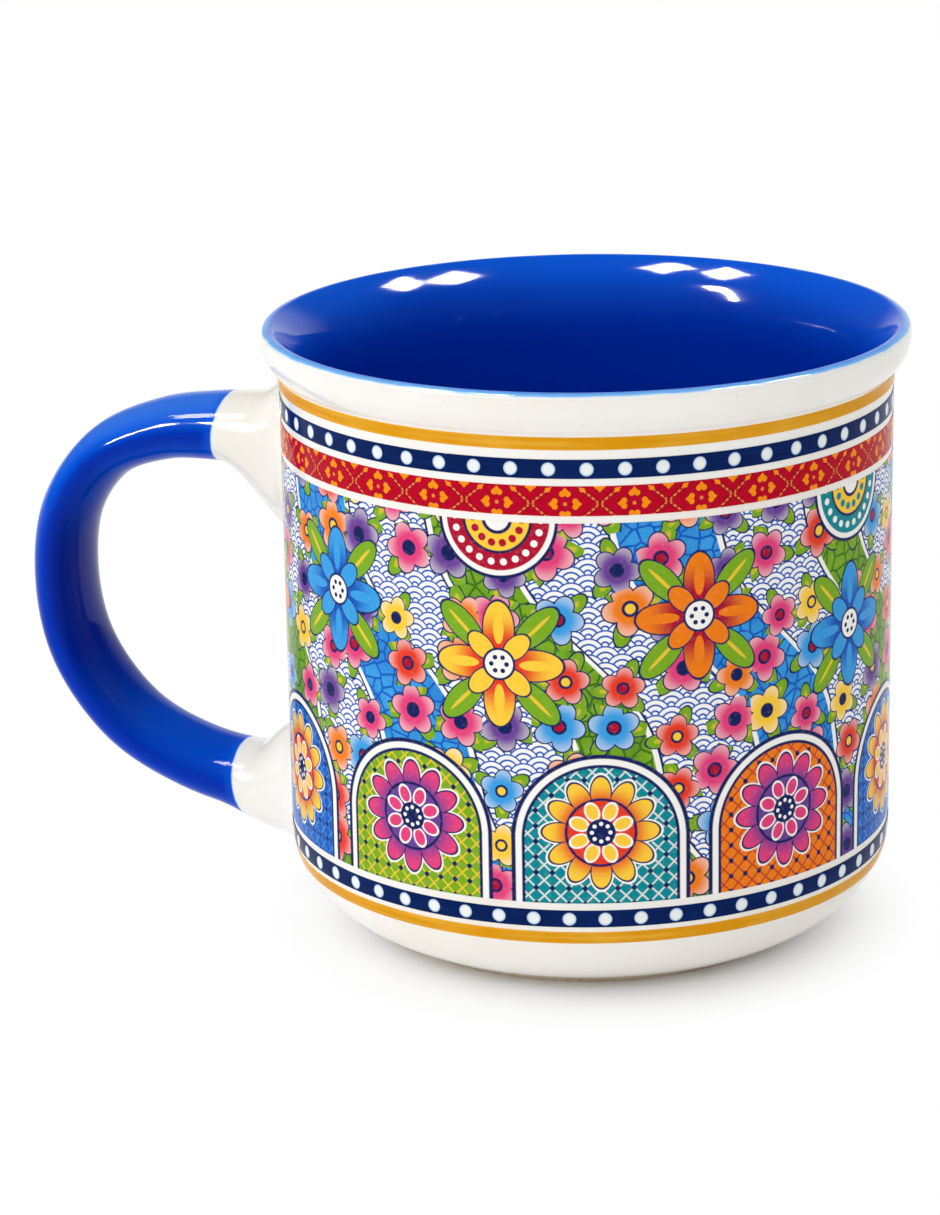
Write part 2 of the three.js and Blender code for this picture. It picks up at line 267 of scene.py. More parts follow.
class MugPrintColours(PropertyGroup):
    """Colours of the printed enamels."""

    gold: colour("Gold", "Ochre of the lines", 222, 152, 12)
    gold_thin: colour("Thin gold", "Ochre where the brush ran thin", 238, 182, 66)
    navy: colour("Navy", "Navy of the dotted bands", 4, 31, 86)
    navy_thin: colour("Thin navy", "Navy where it lies thin", 10, 44, 106)
    dot: colour("Dot", "White of the dots", 246, 246, 242)
    dot_edge: colour("Dot edge", "The dots' soft edge", 196, 220, 242)
    red: colour("Red", "Red of the lattice band", 194, 5, 40)
    red_deep: colour("Deep red", "Red round the ornaments", 152, 3, 34)
    amber: colour("Amber", "Hearts of the lattice band", 250, 146, 22)
    dash: colour("Dash", "Dashes of the lattice band", 232, 140, 66)
    white: colour("White", "Ground of the picture wrap", 250, 248, 243)
    outline: colour("Outline", "Outlines of the picture wrap", 22, 34, 92)
    sky: colour("Sky", "Light blue of the picture wrap", 58, 158, 226)
    turquoise: colour("Turquoise", "Blue green of the picture wrap", 10, 138, 150)
    cobalt: colour("Cobalt", "Strong blue of the picture wrap", 18, 88, 190)
    leaf: colour("Leaf", "Green of the picture wrap", 124, 172, 36)
    moss: colour("Moss", "Dark green of the picture wrap", 58, 112, 26)
    yellow: colour("Yellow", "Yellow of the picture wrap", 255, 206, 62)
    orange: colour("Orange", "Orange of the picture wrap", 244, 128, 24)
    scarlet: colour("Scarlet", "Orange red of the picture wrap", 232, 62, 38)
    crimson: colour("Crimson", "Dark red of the picture wrap", 178, 18, 52)
    pink: colour("Pink", "Pink of the picture wrap", 228, 66, 124)
    violet: colour("Violet", "Violet of the picture wrap", 108, 66, 150)


class MugStageSizes(PropertyGroup):
    """The camera and the light."""

    camera_reach: length("Camera reach", "Level distance from the cup's axis to the camera", 571.304)
    camera_height: length("Camera height", "Height of the camera", 218.617)
    camera_round: turn("Camera round", "Turn of the camera about the cup from the -Y side", 16.0)
    camera_aside: turn("Camera aside", "How far the camera looks left of the cup's axis", 1.764)
    camera_down: turn("Camera down", "How far the camera looks down", 16.653)
    camera_roll: turn("Camera roll", "Roll of the camera", -1.041)
    camera_lens: length("Camera lens", "Focal length for a sensor 36 mm high", 118.335)
    daylight: share("Daylight", "Strength of the even light from all sides", 0.97)
    right_shade: share("Right shade", "Share of the even light that is missing on the right", 0.42)
    room: share("Room", "Strength of the dim room that the glazes mirror", 0.1)
    floor: colour("Floor", "Colour of the floor", 250, 250, 250)


# Shader maths


class Value:
    """A number that changes over a surface. Arithmetic on it adds Math nodes to its look."""

    def __init__(self, look, socket):
        self.look = look
        self.socket = socket

    def math(self, operation, *others):
        return self.look.math(operation, self, *others)

    def __add__(self, other):
        return self.math("ADD", other)

    def __radd__(self, other):
        return self.math("ADD", other)

    def __sub__(self, other):
        return self.math("SUBTRACT", other)

    def __rsub__(self, other):
        return self.look.math("SUBTRACT", other, self)

    def __mul__(self, other):
        return self.math("MULTIPLY", other)

    def __rmul__(self, other):
        return self.math("MULTIPLY", other)

    def __truediv__(self, other):
        return self.math("DIVIDE", other)

    def __mod__(self, other):
        return self.math("FLOORED_MODULO", other)

    def __abs__(self):
        return self.math("ABSOLUTE")

    def __lt__(self, other):
        return self.math("LESS_THAN", other)

    def __and__(self, other):
        return self.math("MINIMUM", other)

    def __or__(self, other):
        return self.math("MAXIMUM", other)

    def rising(self, start, end):
        """0 up to start, 1 from end on, and a smooth step between them."""
        sockets = {"Value": self, "From Min": start, "From Max": end}
        made = self.look.node("ShaderNodeMapRange", {"interpolation_type": "SMOOTHSTEP"}, sockets)
        return Value(self.look, made.outputs[0])


class Look:
    """A node tree that gives a surface its looks."""

    def __init__(self, tree):
        self.tree = tree

    def feed(self, socket, value):
        """Links a socket, or sets it to a number or a colour."""
        if isinstance(value, Value):
            value = value.socket
        if isinstance(value, bpy.types.NodeSocket):
            self.tree.links.new(value, socket)
        elif socket.type == "RGBA":
            socket.default_value = (*value[:3], 1)
        else:
            socket.default_value = value

    def node(self, kind, settings, sockets):
        """Any node: its settings first, then the values or links of its sockets."""
        made = self.tree.nodes.new(kind)
        for name, setting in settings.items():
            if name == "stops":
                self.set_stops(made.color_ramp, setting)
            else:
                setattr(made, name, setting)
        for name, value in sockets.items():
            self.feed(made.inputs[name], value)
        return made

    def set_stops(self, ramp, stops):
        """A ramp that holds each colour from its place to the next one."""
        ramp.interpolation = "CONSTANT"
        for place, tint in stops[1:]:
            ramp.elements.new(place).color = (*tint[:3], 1)
        ramp.elements[0].color = (*stops[0][1][:3], 1)
        ramp.elements.remove(ramp.elements[len(stops)])

    def math(self, operation, *terms):
        made = self.node("ShaderNodeMath", {"operation": operation}, dict(enumerate(terms)))
        return Value(self, made.outputs[0])

    def mix(self, factor, under, over):
        """A colour over another, as far as factor says."""
        made = self.node("ShaderNodeMix", {"data_type": "RGBA"}, {0: factor, 6: under, 7: over})
        return made.outputs[2]

    def split(self, vector):
        """The three numbers of a vector or of a colour."""
        made = self.node("ShaderNodeSeparateXYZ", {}, {"Vector": vector})
        return [Value(self, socket) for socket in made.outputs]

    def printed(self):
        """Where a point lies on the print, as a vector of millimetres."""
        return self.node("ShaderNodeUVMap", {"uv_map": PRINT_MAP}, {}).outputs["UV"]

    def solid(self):
        """Where a point lies in the mug, as a vector of metres."""
        return self.node("ShaderNodeTexCoord", {}, {}).outputs["Object"]

    def facing(self):
        """Which way a point of the surface faces, as three numbers."""
        return self.split(self.node("ShaderNodeNewGeometry", {}, {}).outputs["Normal"])

    def stretched(self, vector, factors):
        made = self.node("ShaderNodeVectorMath", {"operation": "MULTIPLY"}, {0: vector, 1: factors})
        return made.outputs[0]

    def noise(self, vector, size, detail=2):
        """Soft noise whose lumps are about a size across."""
        sockets = {"Vector": vector, "Scale": 1 / size, "Detail": detail}
        return Value(self, self.node("ShaderNodeTexNoise", {}, sockets).outputs[0])

    def pick(self, number, colours):
        """One of some colours, by a number from 0 to 1."""
        stops = [(index / len(colours), tint) for index, tint in enumerate(colours)]
        return self.node("ShaderNodeValToRGB", {"stops": stops}, {0: number}).outputs["Color"]

    def layers(self, paint, depth, coats):
        """Colours laid over one another, each where a depth rises from one number to the next."""
        for start, end, tint in coats:
            paint = self.mix(depth.rising(start, end), paint, tint)
        return paint

    def discs(self, paint, radius, coats):
        """Colours laid over one another, each inside an edge that fades between two radii."""
        for start, end, tint in coats:
            paint = self.mix(1 - radius.rising(start, end), paint, tint)
        return paint

    def bump(self, height, strength, distance):
        sockets = {"Strength": strength, "Distance": distance, "Height": height}
        return self.node("ShaderNodeBump", {}, sockets).outputs["Normal"]


class Finish(Look):
    """A material with one Principled shader."""

    def __init__(self, name, gloss):
        self.material = bpy.data.materials.new(name)
        self.material.use_nodes = True
        super().__init__(self.material.node_tree)
        self.shader = self.tree.nodes["Principled BSDF"]
        self.shader.inputs["Specular IOR Level"].default_value = gloss

    def lay(self, base, roughness, normal=None):
        """Feeds the shader and hands back the material."""
        self.feed(self.shader.inputs["Base Color"], base)
        self.feed(self.shader.inputs["Roughness"], roughness)
        if normal is not None:
            self.feed(self.shader.inputs["Normal"], normal)
        return self.material


def across(x, y):
    """The distance of a point from the middle of its motif."""
    return (x * x + y * y).math("SQRT")


def nearest(value, pitch):
    """The signed distance to the nearest of a row of places a pitch apart, one of them at 0."""
    return (value + pitch / 2) % pitch - pitch / 2


def petals(x, y, count, reach, half_length, half_width, turned=0.0):
    """How deep a point lies in a ring of oval petals: 1 at a petal's middle and 0 on its edge."""
    angle = nearest(y.math("ARCTAN2", x) + turned, 2 * math.pi / count)
    radius = across(x, y)
    along = (radius * angle.math("COSINE") - reach) / half_length
    aside = radius * angle.math("SINE") / half_width
    return 1 - along * along - aside * aside


# Glazes and enamels


def clay_finish():
    """Bare fired clay: sandy, with darker specks and a grain."""
    tints = bpy.context.scene.mug_glazes
    look = Finish("fired_clay", gloss=0.2)
    place = look.solid()
    cloud = look.noise(place, 0.009, 4)
    specks = look.noise(place, 0.0007, 1).rising(0.62, 0.72)
    base = look.mix(cloud.rising(0.3, 0.7), tints.clay, [level * 0.86 for level in tints.clay])
    base = look.mix(specks * 0.55, base, linear(140, 112, 80))
    grain = look.noise(place, 0.0005, 3)
    return look.lay(base, 0.72 + cloud * 0.2, look.bump(grain, 0.25, 0.0002))


def cream_finish():
    """Cream glaze: faint mottling, thicker and warmer in places, with a soft ripple."""
    tints = bpy.context.scene.mug_glazes
    look = Finish("cream_glaze", gloss=0.28)
    place = look.solid()
    pools = look.noise(place, 0.022, 3)
    base = look.mix(pools.rising(0.35, 0.75), tints.cream, tints.cream_shade)
    specks = look.noise(place, 0.0008, 1).rising(0.74, 0.8)
    base = look.mix(specks * 0.18, base, linear(196, 178, 148))
    ripple = look.noise(place, 0.006, 2)
    return look.lay(base, 0.07 + pools * 0.06, look.bump(ripple, 0.06, 0.0004))


def lay_blue(look, base, place, pools):
    """The gloss and the soft ripple that both blue glazes share."""
    ripple = look.noise(place, RIPPLE_SIZE, 2)
    return look.lay(base, 0.05 + pools * 0.05, look.bump(ripple, 0.05, 0.0004))


def liner_finish(lip_end):
    """Blue inside the cup: pale over the lip, azure below it and deeper towards the floor."""
    tints = bpy.context.scene.mug_glazes
    look = Finish("blue_liner", gloss=0.12)
    place = look.solid()
    _, down, _ = look.split(look.printed())
    pools = look.noise(place, POOL_SIZE, 3)
    wander = look.noise(place, 0.005, 2) - 0.5
    depth = down + pools * 6 - 3
    # Painted light and shade: azure near the rim, blue lower down and darker blue towards the floor, the
    # steps wandering with the pools.
    base = look.mix(depth.rising(0, 16), tints.azure, tints.blue)
    base = look.mix(depth.rising(20, 64), base, tints.blue_shade)
    base = look.mix(1 - (down + wander * 0.8).rising(lip_end * 0.45, lip_end * 1.3), base, tints.pale_blue)
    base = look.mix(1 - (down + wander * 0.5).rising(0.3, 0.6), base, tints.dip_edge)
    base = look.mix(1 - (down + wander * 0.5).rising(0.1, 0.4), base, tints.cream)
    return lay_blue(look, base, place, pools)


def grip_finish():
    """Blue dip on the handle: thinner on top, thicker by the cup, pale at both of its edges."""
    tints = bpy.context.scene.mug_glazes
    look = Finish("blue_dip", gloss=0.045)
    place = look.solid()
    pools = look.noise(place, POOL_SIZE, 3)
    towards_cup, _, upwards = look.facing()
    # Painted shade: darker blue on the side that faces the cup.
    base = look.mix(towards_cup.rising(-0.2, 0.8) * 0.8 + 0.2, tints.blue, tints.blue_shade)
    _, _, height = look.split(place)
    on_upper_arm = height.rising(0.02, 0.06)
    outwards = upwards - towards_cup * 0.4
    # Painted light: azure on the top and outer side, stronger on the upper arm, broken up by the pools.
    painted_top_light = (outwards + pools * 0.4).rising(0.2, 1.0)
    base = look.mix(painted_top_light * (on_upper_arm * 0.5 + 0.45), base, tints.azure)
    # Painted reflection of the floor: azure on the faces that look down.
    base = look.mix((0 - upwards).rising(0.0, 0.8) * 0.35, base, tints.azure)
    # Painted highlight: pale blue along the top of the upper arm.
    base = look.mix(outwards.rising(0.6, 1.1) * on_upper_arm * 0.2, base, tints.pale_blue)
    from_upper, from_lower, _ = look.split(look.printed())
    wander = look.noise(place, 0.003, 2) * 0.25
    edge = (from_upper & from_lower) - wander
    base = look.mix((1 - edge.rising(0.2, 2.4)) * 0.6, base, tints.azure)
    base = look.mix(1 - edge.rising(0.12, 0.5), base, tints.dip_edge)
    look.feed(look.shader.inputs["Coat Weight"], towards_cup.rising(0.85, 1.0) * 0.2)
    look.feed(look.shader.inputs["Coat Roughness"], 0.04)
    return lay_blue(look, base, place, pools)


def gold_finish(width):
    """Ochre line drawn by brush on a wheel: streaks along it, thin at its edges."""
    tints = bpy.context.scene.mug_prints
    look = Finish("gold_enamel", gloss=FILM_GLOSS)
    place = look.printed()
    _, up, _ = look.split(place)
    streaks = look.noise(look.stretched(place, (0.03, 1.6, 1)), 1.0, 3)
    patches = look.noise(look.stretched(place, (0.12, 0.2, 1)), 1.0, 2)
    edge = 1 - abs(up / width * 2 - 1)
    thin = (streaks * 0.6 + patches * 0.5).rising(0.42, 0.78)
    base = look.mix(thin * 0.75, tints.gold, tints.gold_thin)
    base = look.mix((1 - edge.rising(0, 0.22)) * 0.4, base, tints.gold_thin)
    return look.lay(base, 0.12 + streaks * 0.12, look.bump(streaks, 0.08, 0.0001))


def dotted_finish(name, pitch, start, middle):
    """Navy band with a row of white dots."""
    tints = bpy.context.scene.mug_prints
    sizes = bpy.context.scene.mug_print_sizes
    look = Finish(name, gloss=FILM_GLOSS)
    place = look.printed()
    along, up, _ = look.split(place)
    streaks = look.noise(look.stretched(place, (0.05, 1.4, 1)), 1.0, 3)
    base = look.mix(streaks.rising(0.4, 0.75) * 0.6, tints.navy, tints.navy_thin)
    dot_radius = sizes.dot / MM / 2
    away = across(nearest(along - start, pitch), up - middle) / dot_radius
    base = look.mix(1 - away.rising(0.92, 1.1), base, tints.dot_edge)
    mottle = look.noise(place, 0.5, 2)
    base = look.mix((1 - away.rising(0.6, 0.95)) * (0.75 + mottle * 0.25), base, tints.dot)
    return look.lay(base, 0.1 + streaks * 0.08, look.bump(streaks, 0.05, 0.0001))


def lattice_finish(start):
    """Red band of dashed diamonds, each holding four hearts round a dot."""
    tints = bpy.context.scene.mug_prints
    sizes = bpy.context.scene.mug_print_sizes
    look = Finish("lattice_enamel", gloss=FILM_GLOSS)
    place = look.printed()
    along, up, _ = look.split(place)
    pitch = sizes.lattice_pitch / MM
    rise = sizes.lattice_rise / MM
    grain = look.noise(place, 0.6, 2)
    base = look.mix(grain.rising(0.35, 0.7) * 0.45, tints.red, tints.red_deep)

    # The diamonds stand in rows half a pitch apart, and a point belongs to the nearer middle.
    height = up - sizes.lattice_middle / MM
    own_x = nearest(along - start, pitch)
    next_x = nearest(along - start + pitch / 2, pitch)
    own = abs(own_x) / (pitch / 2) + abs(height) / rise
    beyond = abs(next_x) / (pitch / 2) + abs(abs(height) - rise) / rise
    is_next = beyond < own
    x = abs(own_x + (next_x - own_x) * is_next)
    y = abs(abs(height) - is_next * rise)

    # Each side of a diamond is a chain of short dashes with a dot at its middle.
    half_side = math.hypot(pitch / 2, rise) / 2
    off_line = (1 - (own & beyond)) * (pitch / 2 * rise / (2 * half_side))
    from_middle = abs(x / (pitch / 2) - y / rise) * half_side
    base = look.mix((1 - off_line.rising(0.2, 0.5)) * 0.6, base, tints.red_deep)
    dash = abs(nearest(from_middle + off_line * 0.5 - half_side / 8, half_side / 4)) / half_side * 8
    is_dash = (1 - dash.rising(0.5, 0.8)) * (1 - off_line.rising(0.09, 0.17))
    base = look.mix(is_dash * (1 - from_middle.rising(half_side * 0.86, half_side * 0.9)), base, tints.dash)
    base = look.mix(1 - across(from_middle, off_line).rising(0.3, 0.4), base, tints.amber)
    crossing = across(abs(abs(own_x) - pitch / 2) - 0.32, height)
    base = look.mix((1 - crossing.rising(0.12, 0.22)) * 0.8, base, tints.dash)

    # A heart's tip points away from the middle, and its two lobes lie towards it.
    outward = x | y
    aside = x & y
    heart_foot = 1.42
    lobe = 0.41 - across(outward - heart_foot, aside - 0.38)
    taper = 0.79 - (outward - heart_foot) * 0.86 - aside
    tip = taper & (outward - heart_foot + 0.05)
    heart = lobe | tip
    base = look.mix(heart.rising(-0.24, -0.1) * 0.6, base, tints.red_deep)
    base = look.mix(heart.rising(-0.06, 0.04), base, tints.amber)
    middle = across(x, y)
    base = look.mix(1 - middle.rising(0.2, 0.32), base, tints.dash)
    return look.lay(base, 0.1 + grain * 0.08, look.bump(grain, 0.04, 0.0001))


# The picture wrap: arched panels below, blossoms strewn above, and star flowers between the arches


def scale_ground(along, up):
    """A share of ink for a ground of overlapping scales, drawn in fine arcs."""
    radius = 2.3
    row_height = radius / 2
    row = (up / row_height).math("FLOOR")
    low = up % row_height
    shift = along + (row % 2) * radius
    back = across(nearest(shift, 2 * radius), low)
    front = across(nearest(shift + radius, 2 * radius), low + row_height)
    is_front = front < radius
    inside = back + (front - back) * is_front
    line = abs(nearest(inside - radius * 0.96, radius * 0.36))
    return 1 - line.rising(0.07, 0.2)


def mosaic(look, place, pitch, light, dark):
    """A ground of small broken tiles: light pieces with dark joints between them."""
    sockets = {"Vector": place, "Scale": 1 / pitch}
    settings = {"voronoi_dimensions": "2D", "feature": "DISTANCE_TO_EDGE"}
    joint = Value(look, look.node("ShaderNodeTexVoronoi", settings, sockets).outputs["Distance"])
    shade = look.noise(place, pitch * 2.5, 2)
    tile = look.mix(shade.rising(0.35, 0.7) * 0.45, light, dark)
    return look.mix(1 - joint.rising(0.03, 0.12), tile, dark)


def ribboned_ground(look, place, along, up, pitch):
    """White scales, crossed by slanting ribbons of blue and of green broken tiles."""
    tints = bpy.context.scene.mug_prints
    tile = bpy.context.scene.mug_print_sizes.tile_pitch / MM
    paint = look.mix(scale_ground(along, up), tints.white, tints.cobalt)
    slant = along + up * 0.6 + (up * 0.17).math("SINE") * 2.4
    ribbons = ((0.0, 0.26, tints.sky, tints.cobalt), (1.0, 0.19, tints.leaf, tints.moss))
    for shift, half_width, light, dark in ribbons:
        edge = abs(nearest(slant - shift * pitch, 2 * pitch)) - half_width * pitch
        tiles = mosaic(look, place, tile, light, dark)
        coats = ((0.75, 0.95, tints.outline), (0.4, 0.55, tints.white), (-0.4, -0.25, tiles))
        paint = look.discs(paint, edge, coats)
    return paint


def hung_discs(look, paint, x, up, index, tall):
    """Ringed half discs that hang from the upper edge, by turns blue green and dark red."""
    tints = bpy.context.scene.mug_prints
    y = up - tall - 0.4
    radius = across(x, y)
    ground = look.mix(index % 2, tints.turquoise, tints.crimson)
    rim = ((8.5, 8.7, tints.outline), (8.05, 8.2, tints.white), (7.3, 7.5, ground))
    paint = look.discs(paint, radius, rim)
    beads = petals(x, y, 22, 6.2, 0.5, 0.5)
    paint = look.mix(beads.rising(-0.2, 0.2), paint, tints.white)
    paint = look.discs(paint, radius, ((4.9, 5.1, tints.outline), (4.5, 4.7, tints.yellow)))
    beads = petals(x, y, 14, 3.5, 0.55, 0.55)
    paint = look.mix(beads.rising(-0.2, 0.2), paint, ground)
    return look.discs(paint, radius, ((2.1, 2.3, tints.outline), (1.6, 1.8, tints.white)))


def strewn_blossoms(look, paint, place):
    """Small five-petalled blossoms in many colours, with leaves behind them."""
    tints = bpy.context.scene.mug_prints
    pitch = bpy.context.scene.mug_print_sizes.blossom_pitch / MM
    sockets = {"Vector": place, "Scale": 1 / pitch, "Randomness": 0.5}
    cells = look.node("ShaderNodeTexVoronoi", {"voronoi_dimensions": "2D"}, sockets)
    offset = look.node(
        "ShaderNodeVectorMath",
        {"operation": "SUBTRACT"},
        {0: place, 1: cells.outputs["Position"]},
    )
    x, y, _ = look.split(offset.outputs[0])
    hue, size, spin = look.split(cells.outputs["Color"])
    grown = 0.98 + size * 0.32
    x = x / grown
    y = y / grown

    leaves = petals(x, y, 3, 2.7, 1.7, 0.95, spin * 9)
    paint = look.layers(paint, leaves, ((-0.5, -0.25, tints.outline), (-0.1, 0.1, tints.leaf)))
    paint = look.mix(leaves.rising(0.75, 0.95) * 0.5, paint, tints.yellow)

    depth = petals(x, y, 5, 1.72, 1.42, 1.2, spin * 6.3)
    radius = across(x, y)
    choices = (tints.pink, tints.yellow, tints.sky, tints.violet, tints.scarlet, tints.pink, tints.orange)
    petal = look.pick(hue, choices)
    pale = look.mix(0.4, petal, tints.white)
    petal = look.mix(radius.rising(1.4, 3.1), petal, pale)
    paint = look.layers(paint, depth, ((-0.26, -0.1, tints.outline), (0.02, 0.16, petal)))
    heart = look.pick((hue * 3) % 1, (tints.crimson, tints.outline, tints.yellow))
    return look.discs(paint, radius, ((0.86, 1.02, tints.outline), (0.5, 0.66, heart)))


def arched_panels(look, paint, x, up, index, half_width, spring):
    """A row of arched panels, each on its own ground with fine dotted diamonds."""
    tints = bpy.context.scene.mug_prints
    edge = across(x, (up - spring) | 0) - half_width
    grounds = (tints.cobalt, tints.leaf, tints.turquoise, tints.orange)
    ground = look.pick(index / 4 % 1 + 0.01, grounds)
    lines = (tints.sky, tints.yellow, tints.white, tints.crimson)
    line = look.pick(index / 4 % 1 + 0.01, lines)
    grid = 2.3
    slant = abs(nearest(x + up, grid)) & abs(nearest(x - up, grid))
    ground = look.mix((1 - slant.rising(0.1, 0.26)) * 0.75, ground, line)
    crossing = across(nearest(x, grid), nearest(up, grid))
    ground = look.mix(1 - crossing.rising(0.3, 0.46), ground, tints.outline)
    border = ((0.2, 0.42, tints.outline), (-0.42, -0.2, tints.white), (-1.3, -1.1, tints.outline))
    paint = look.discs(paint, edge, border)
    return look.mix(1 - edge.rising(-1.75, -1.55), paint, ground)


def dahlia(look, paint, x, y, petal, ring, heart):
    """A round flower: twelve outer petals, eight inner ones and a dotted heart."""
    tints = bpy.context.scene.mug_prints
    outer = petals(x, y, 12, 5.9, 2.5, 1.5)
    radius = across(x, y)
    shaded = look.mix(radius.rising(4.2, 7.6), ring, petal)
    coats = ((-0.5, -0.3, tints.white), (-0.16, -0.04, tints.outline), (0.08, 0.22, shaded))
    paint = look.layers(paint, outer, coats)
    paint = look.discs(paint, radius, ((5.0, 5.2, tints.outline), (4.6, 4.8, ring)))
    inner = petals(x, y, 8, 3.3, 1.5, 1.06, 0.4)
    paint = look.layers(paint, inner, ((-0.1, 0.06, tints.white), (0.3, 0.5, petal)))
    paint = look.mix(1 - radius.rising(1.95, 2.12), paint, heart)
    dots = petals(x, y, 8, 1.3, 0.3, 0.3)
    return look.mix(dots.rising(-0.2, 0.2), paint, tints.white)


def star_flower(look, paint, x, y, petal, tip, heart):
    """An eight-pointed flower over four long leaves, with a seeded heart."""
    tints = bpy.context.scene.mug_prints
    leaves = petals(x, y, 4, 7.6, 4.1, 1.9, math.pi / 4)
    paint = look.layers(paint, leaves, ((-0.2, -0.06, tints.outline), (0.02, 0.1, tints.leaf)))
    veins = petals(x, y, 4, 7.6, 3.0, 0.3, math.pi / 4)
    paint = look.mix(veins.rising(0, 0.4) * 0.8, paint, tints.yellow)
    radius = across(x, y)
    big = petals(x, y, 4, 5.0, 4.2, 2.3)
    shaded = look.mix(radius.rising(3.4, 8), petal, tip)
    paint = look.layers(paint, big, ((-0.16, -0.04, tints.outline), (0.04, 0.12, shaded)))
    stripe = petals(x, y, 4, 5.2, 2.4, 0.8)
    paint = look.mix(stripe.rising(0, 0.2), paint, tip)
    small = petals(x, y, 4, 3.6, 2.4, 1.5, math.pi / 4)
    paint = look.layers(paint, small, ((-0.2, -0.04, tints.outline), (0.06, 0.2, tip)))
    paint = look.discs(paint, radius, ((2.3, 2.45, tints.outline), (1.95, 2.1, heart)))
    seeds = petals(x, y, 6, 1.1, 0.34, 0.34)
    return look.mix(seeds.rising(-0.2, 0.2), paint, tints.outline)


def picture_finish(around, tall):
    """The printed wrap: a frieze of arched panels and flowers on a ground of scales."""
    tints = bpy.context.scene.mug_prints
    sizes = bpy.context.scene.mug_print_sizes
    look = Finish("picture_enamel", gloss=FILM_GLOSS)
    place = look.printed()
    along, up, _ = look.split(place)
    pitch = around / sizes.panels

    paint = ribboned_ground(look, place, along, up, pitch)
    paint = strewn_blossoms(look, paint, place)

    half_width = pitch * 0.44
    spring = tall * 0.17
    index = (along / pitch).math("FLOOR")
    x = along % pitch - pitch / 2
    paint = arched_panels(look, paint, x, up, index, half_width, spring)
    odd = index % 2
    panel_flower = up - spring - 1.2
    petal = look.mix(odd, tints.yellow, tints.pink)
    ring = look.mix(odd, tints.scarlet, tints.violet)
    paint = dahlia(look, paint, x, panel_flower, petal, ring, tints.outline)

    # The star flowers stand over the gaps between the arches, high and low by turns.
    number = (along / pitch + 0.5).math("FLOOR")
    beside = nearest(along, pitch)
    swing = (number % 2) * (sizes.star_swing / MM)
    pairs = (along / pitch / 2 + 0.5).math("FLOOR")
    paint = hung_discs(look, paint, nearest(along, pitch * 2), up, pairs, tall)
    petal = look.pick(number / 3 % 1 + 0.01, (tints.crimson, tints.cobalt, tints.scarlet))
    tip = look.pick(number / 3 % 1 + 0.01, (tints.orange, tints.sky, tints.yellow))
    paint = star_flower(look, paint, beside, up - tall * 0.63 - swing, petal, tip, tints.white)

    grain = look.noise(place, 0.7, 2)
    paint = look.mix(grain.rising(0.5, 0.8) * 0.06, paint, tints.white)
    return look.lay(paint, 0.1 + grain * 0.08, look.bump(grain, 0.04, 0.0001))


# Shapes


def curve_through(points, steps):
    """A smooth curve through points, as many places on it: a centripetal Catmull-Rom spline."""
    first = points[0] * 2 - points[1]
    last = points[-1] * 2 - points[-2]
    knots = [first, *points, last]
    places = [points[0].copy()]
    for index in range(1, len(knots) - 2):
        near = knots[index - 1 : index + 3]
        times = [0.0]
        for one, other in zip(near, near[1:]):
            times.append(times[-1] + math.sqrt((other - one).length))
        for step in range(1, steps + 1):
            time = times[1] + (times[2] - times[1]) * step / steps
            places.append(blended(near, times, time))
    return places


def blended(near, times, time):
    """The place at a time on the spline's stretch between four points, by repeated blending."""
    level = list(near)
    for width in (1, 2, 3):
        level = [
            level[i].lerp(level[i + 1], (time - times[start]) / (times[start + span_of] - times[start]))
            for i, start, span_of in blend_steps(width)
        ]
    return level[0]


def blend_steps(width):
    """Which knots each blend of a spline runs between."""
    if width == 1:
        return [(0, 0, 1), (1, 1, 1), (2, 2, 1)]
    if width == 2:
        return [(0, 0, 2), (1, 1, 2)]
    return [(0, 1, 1)]


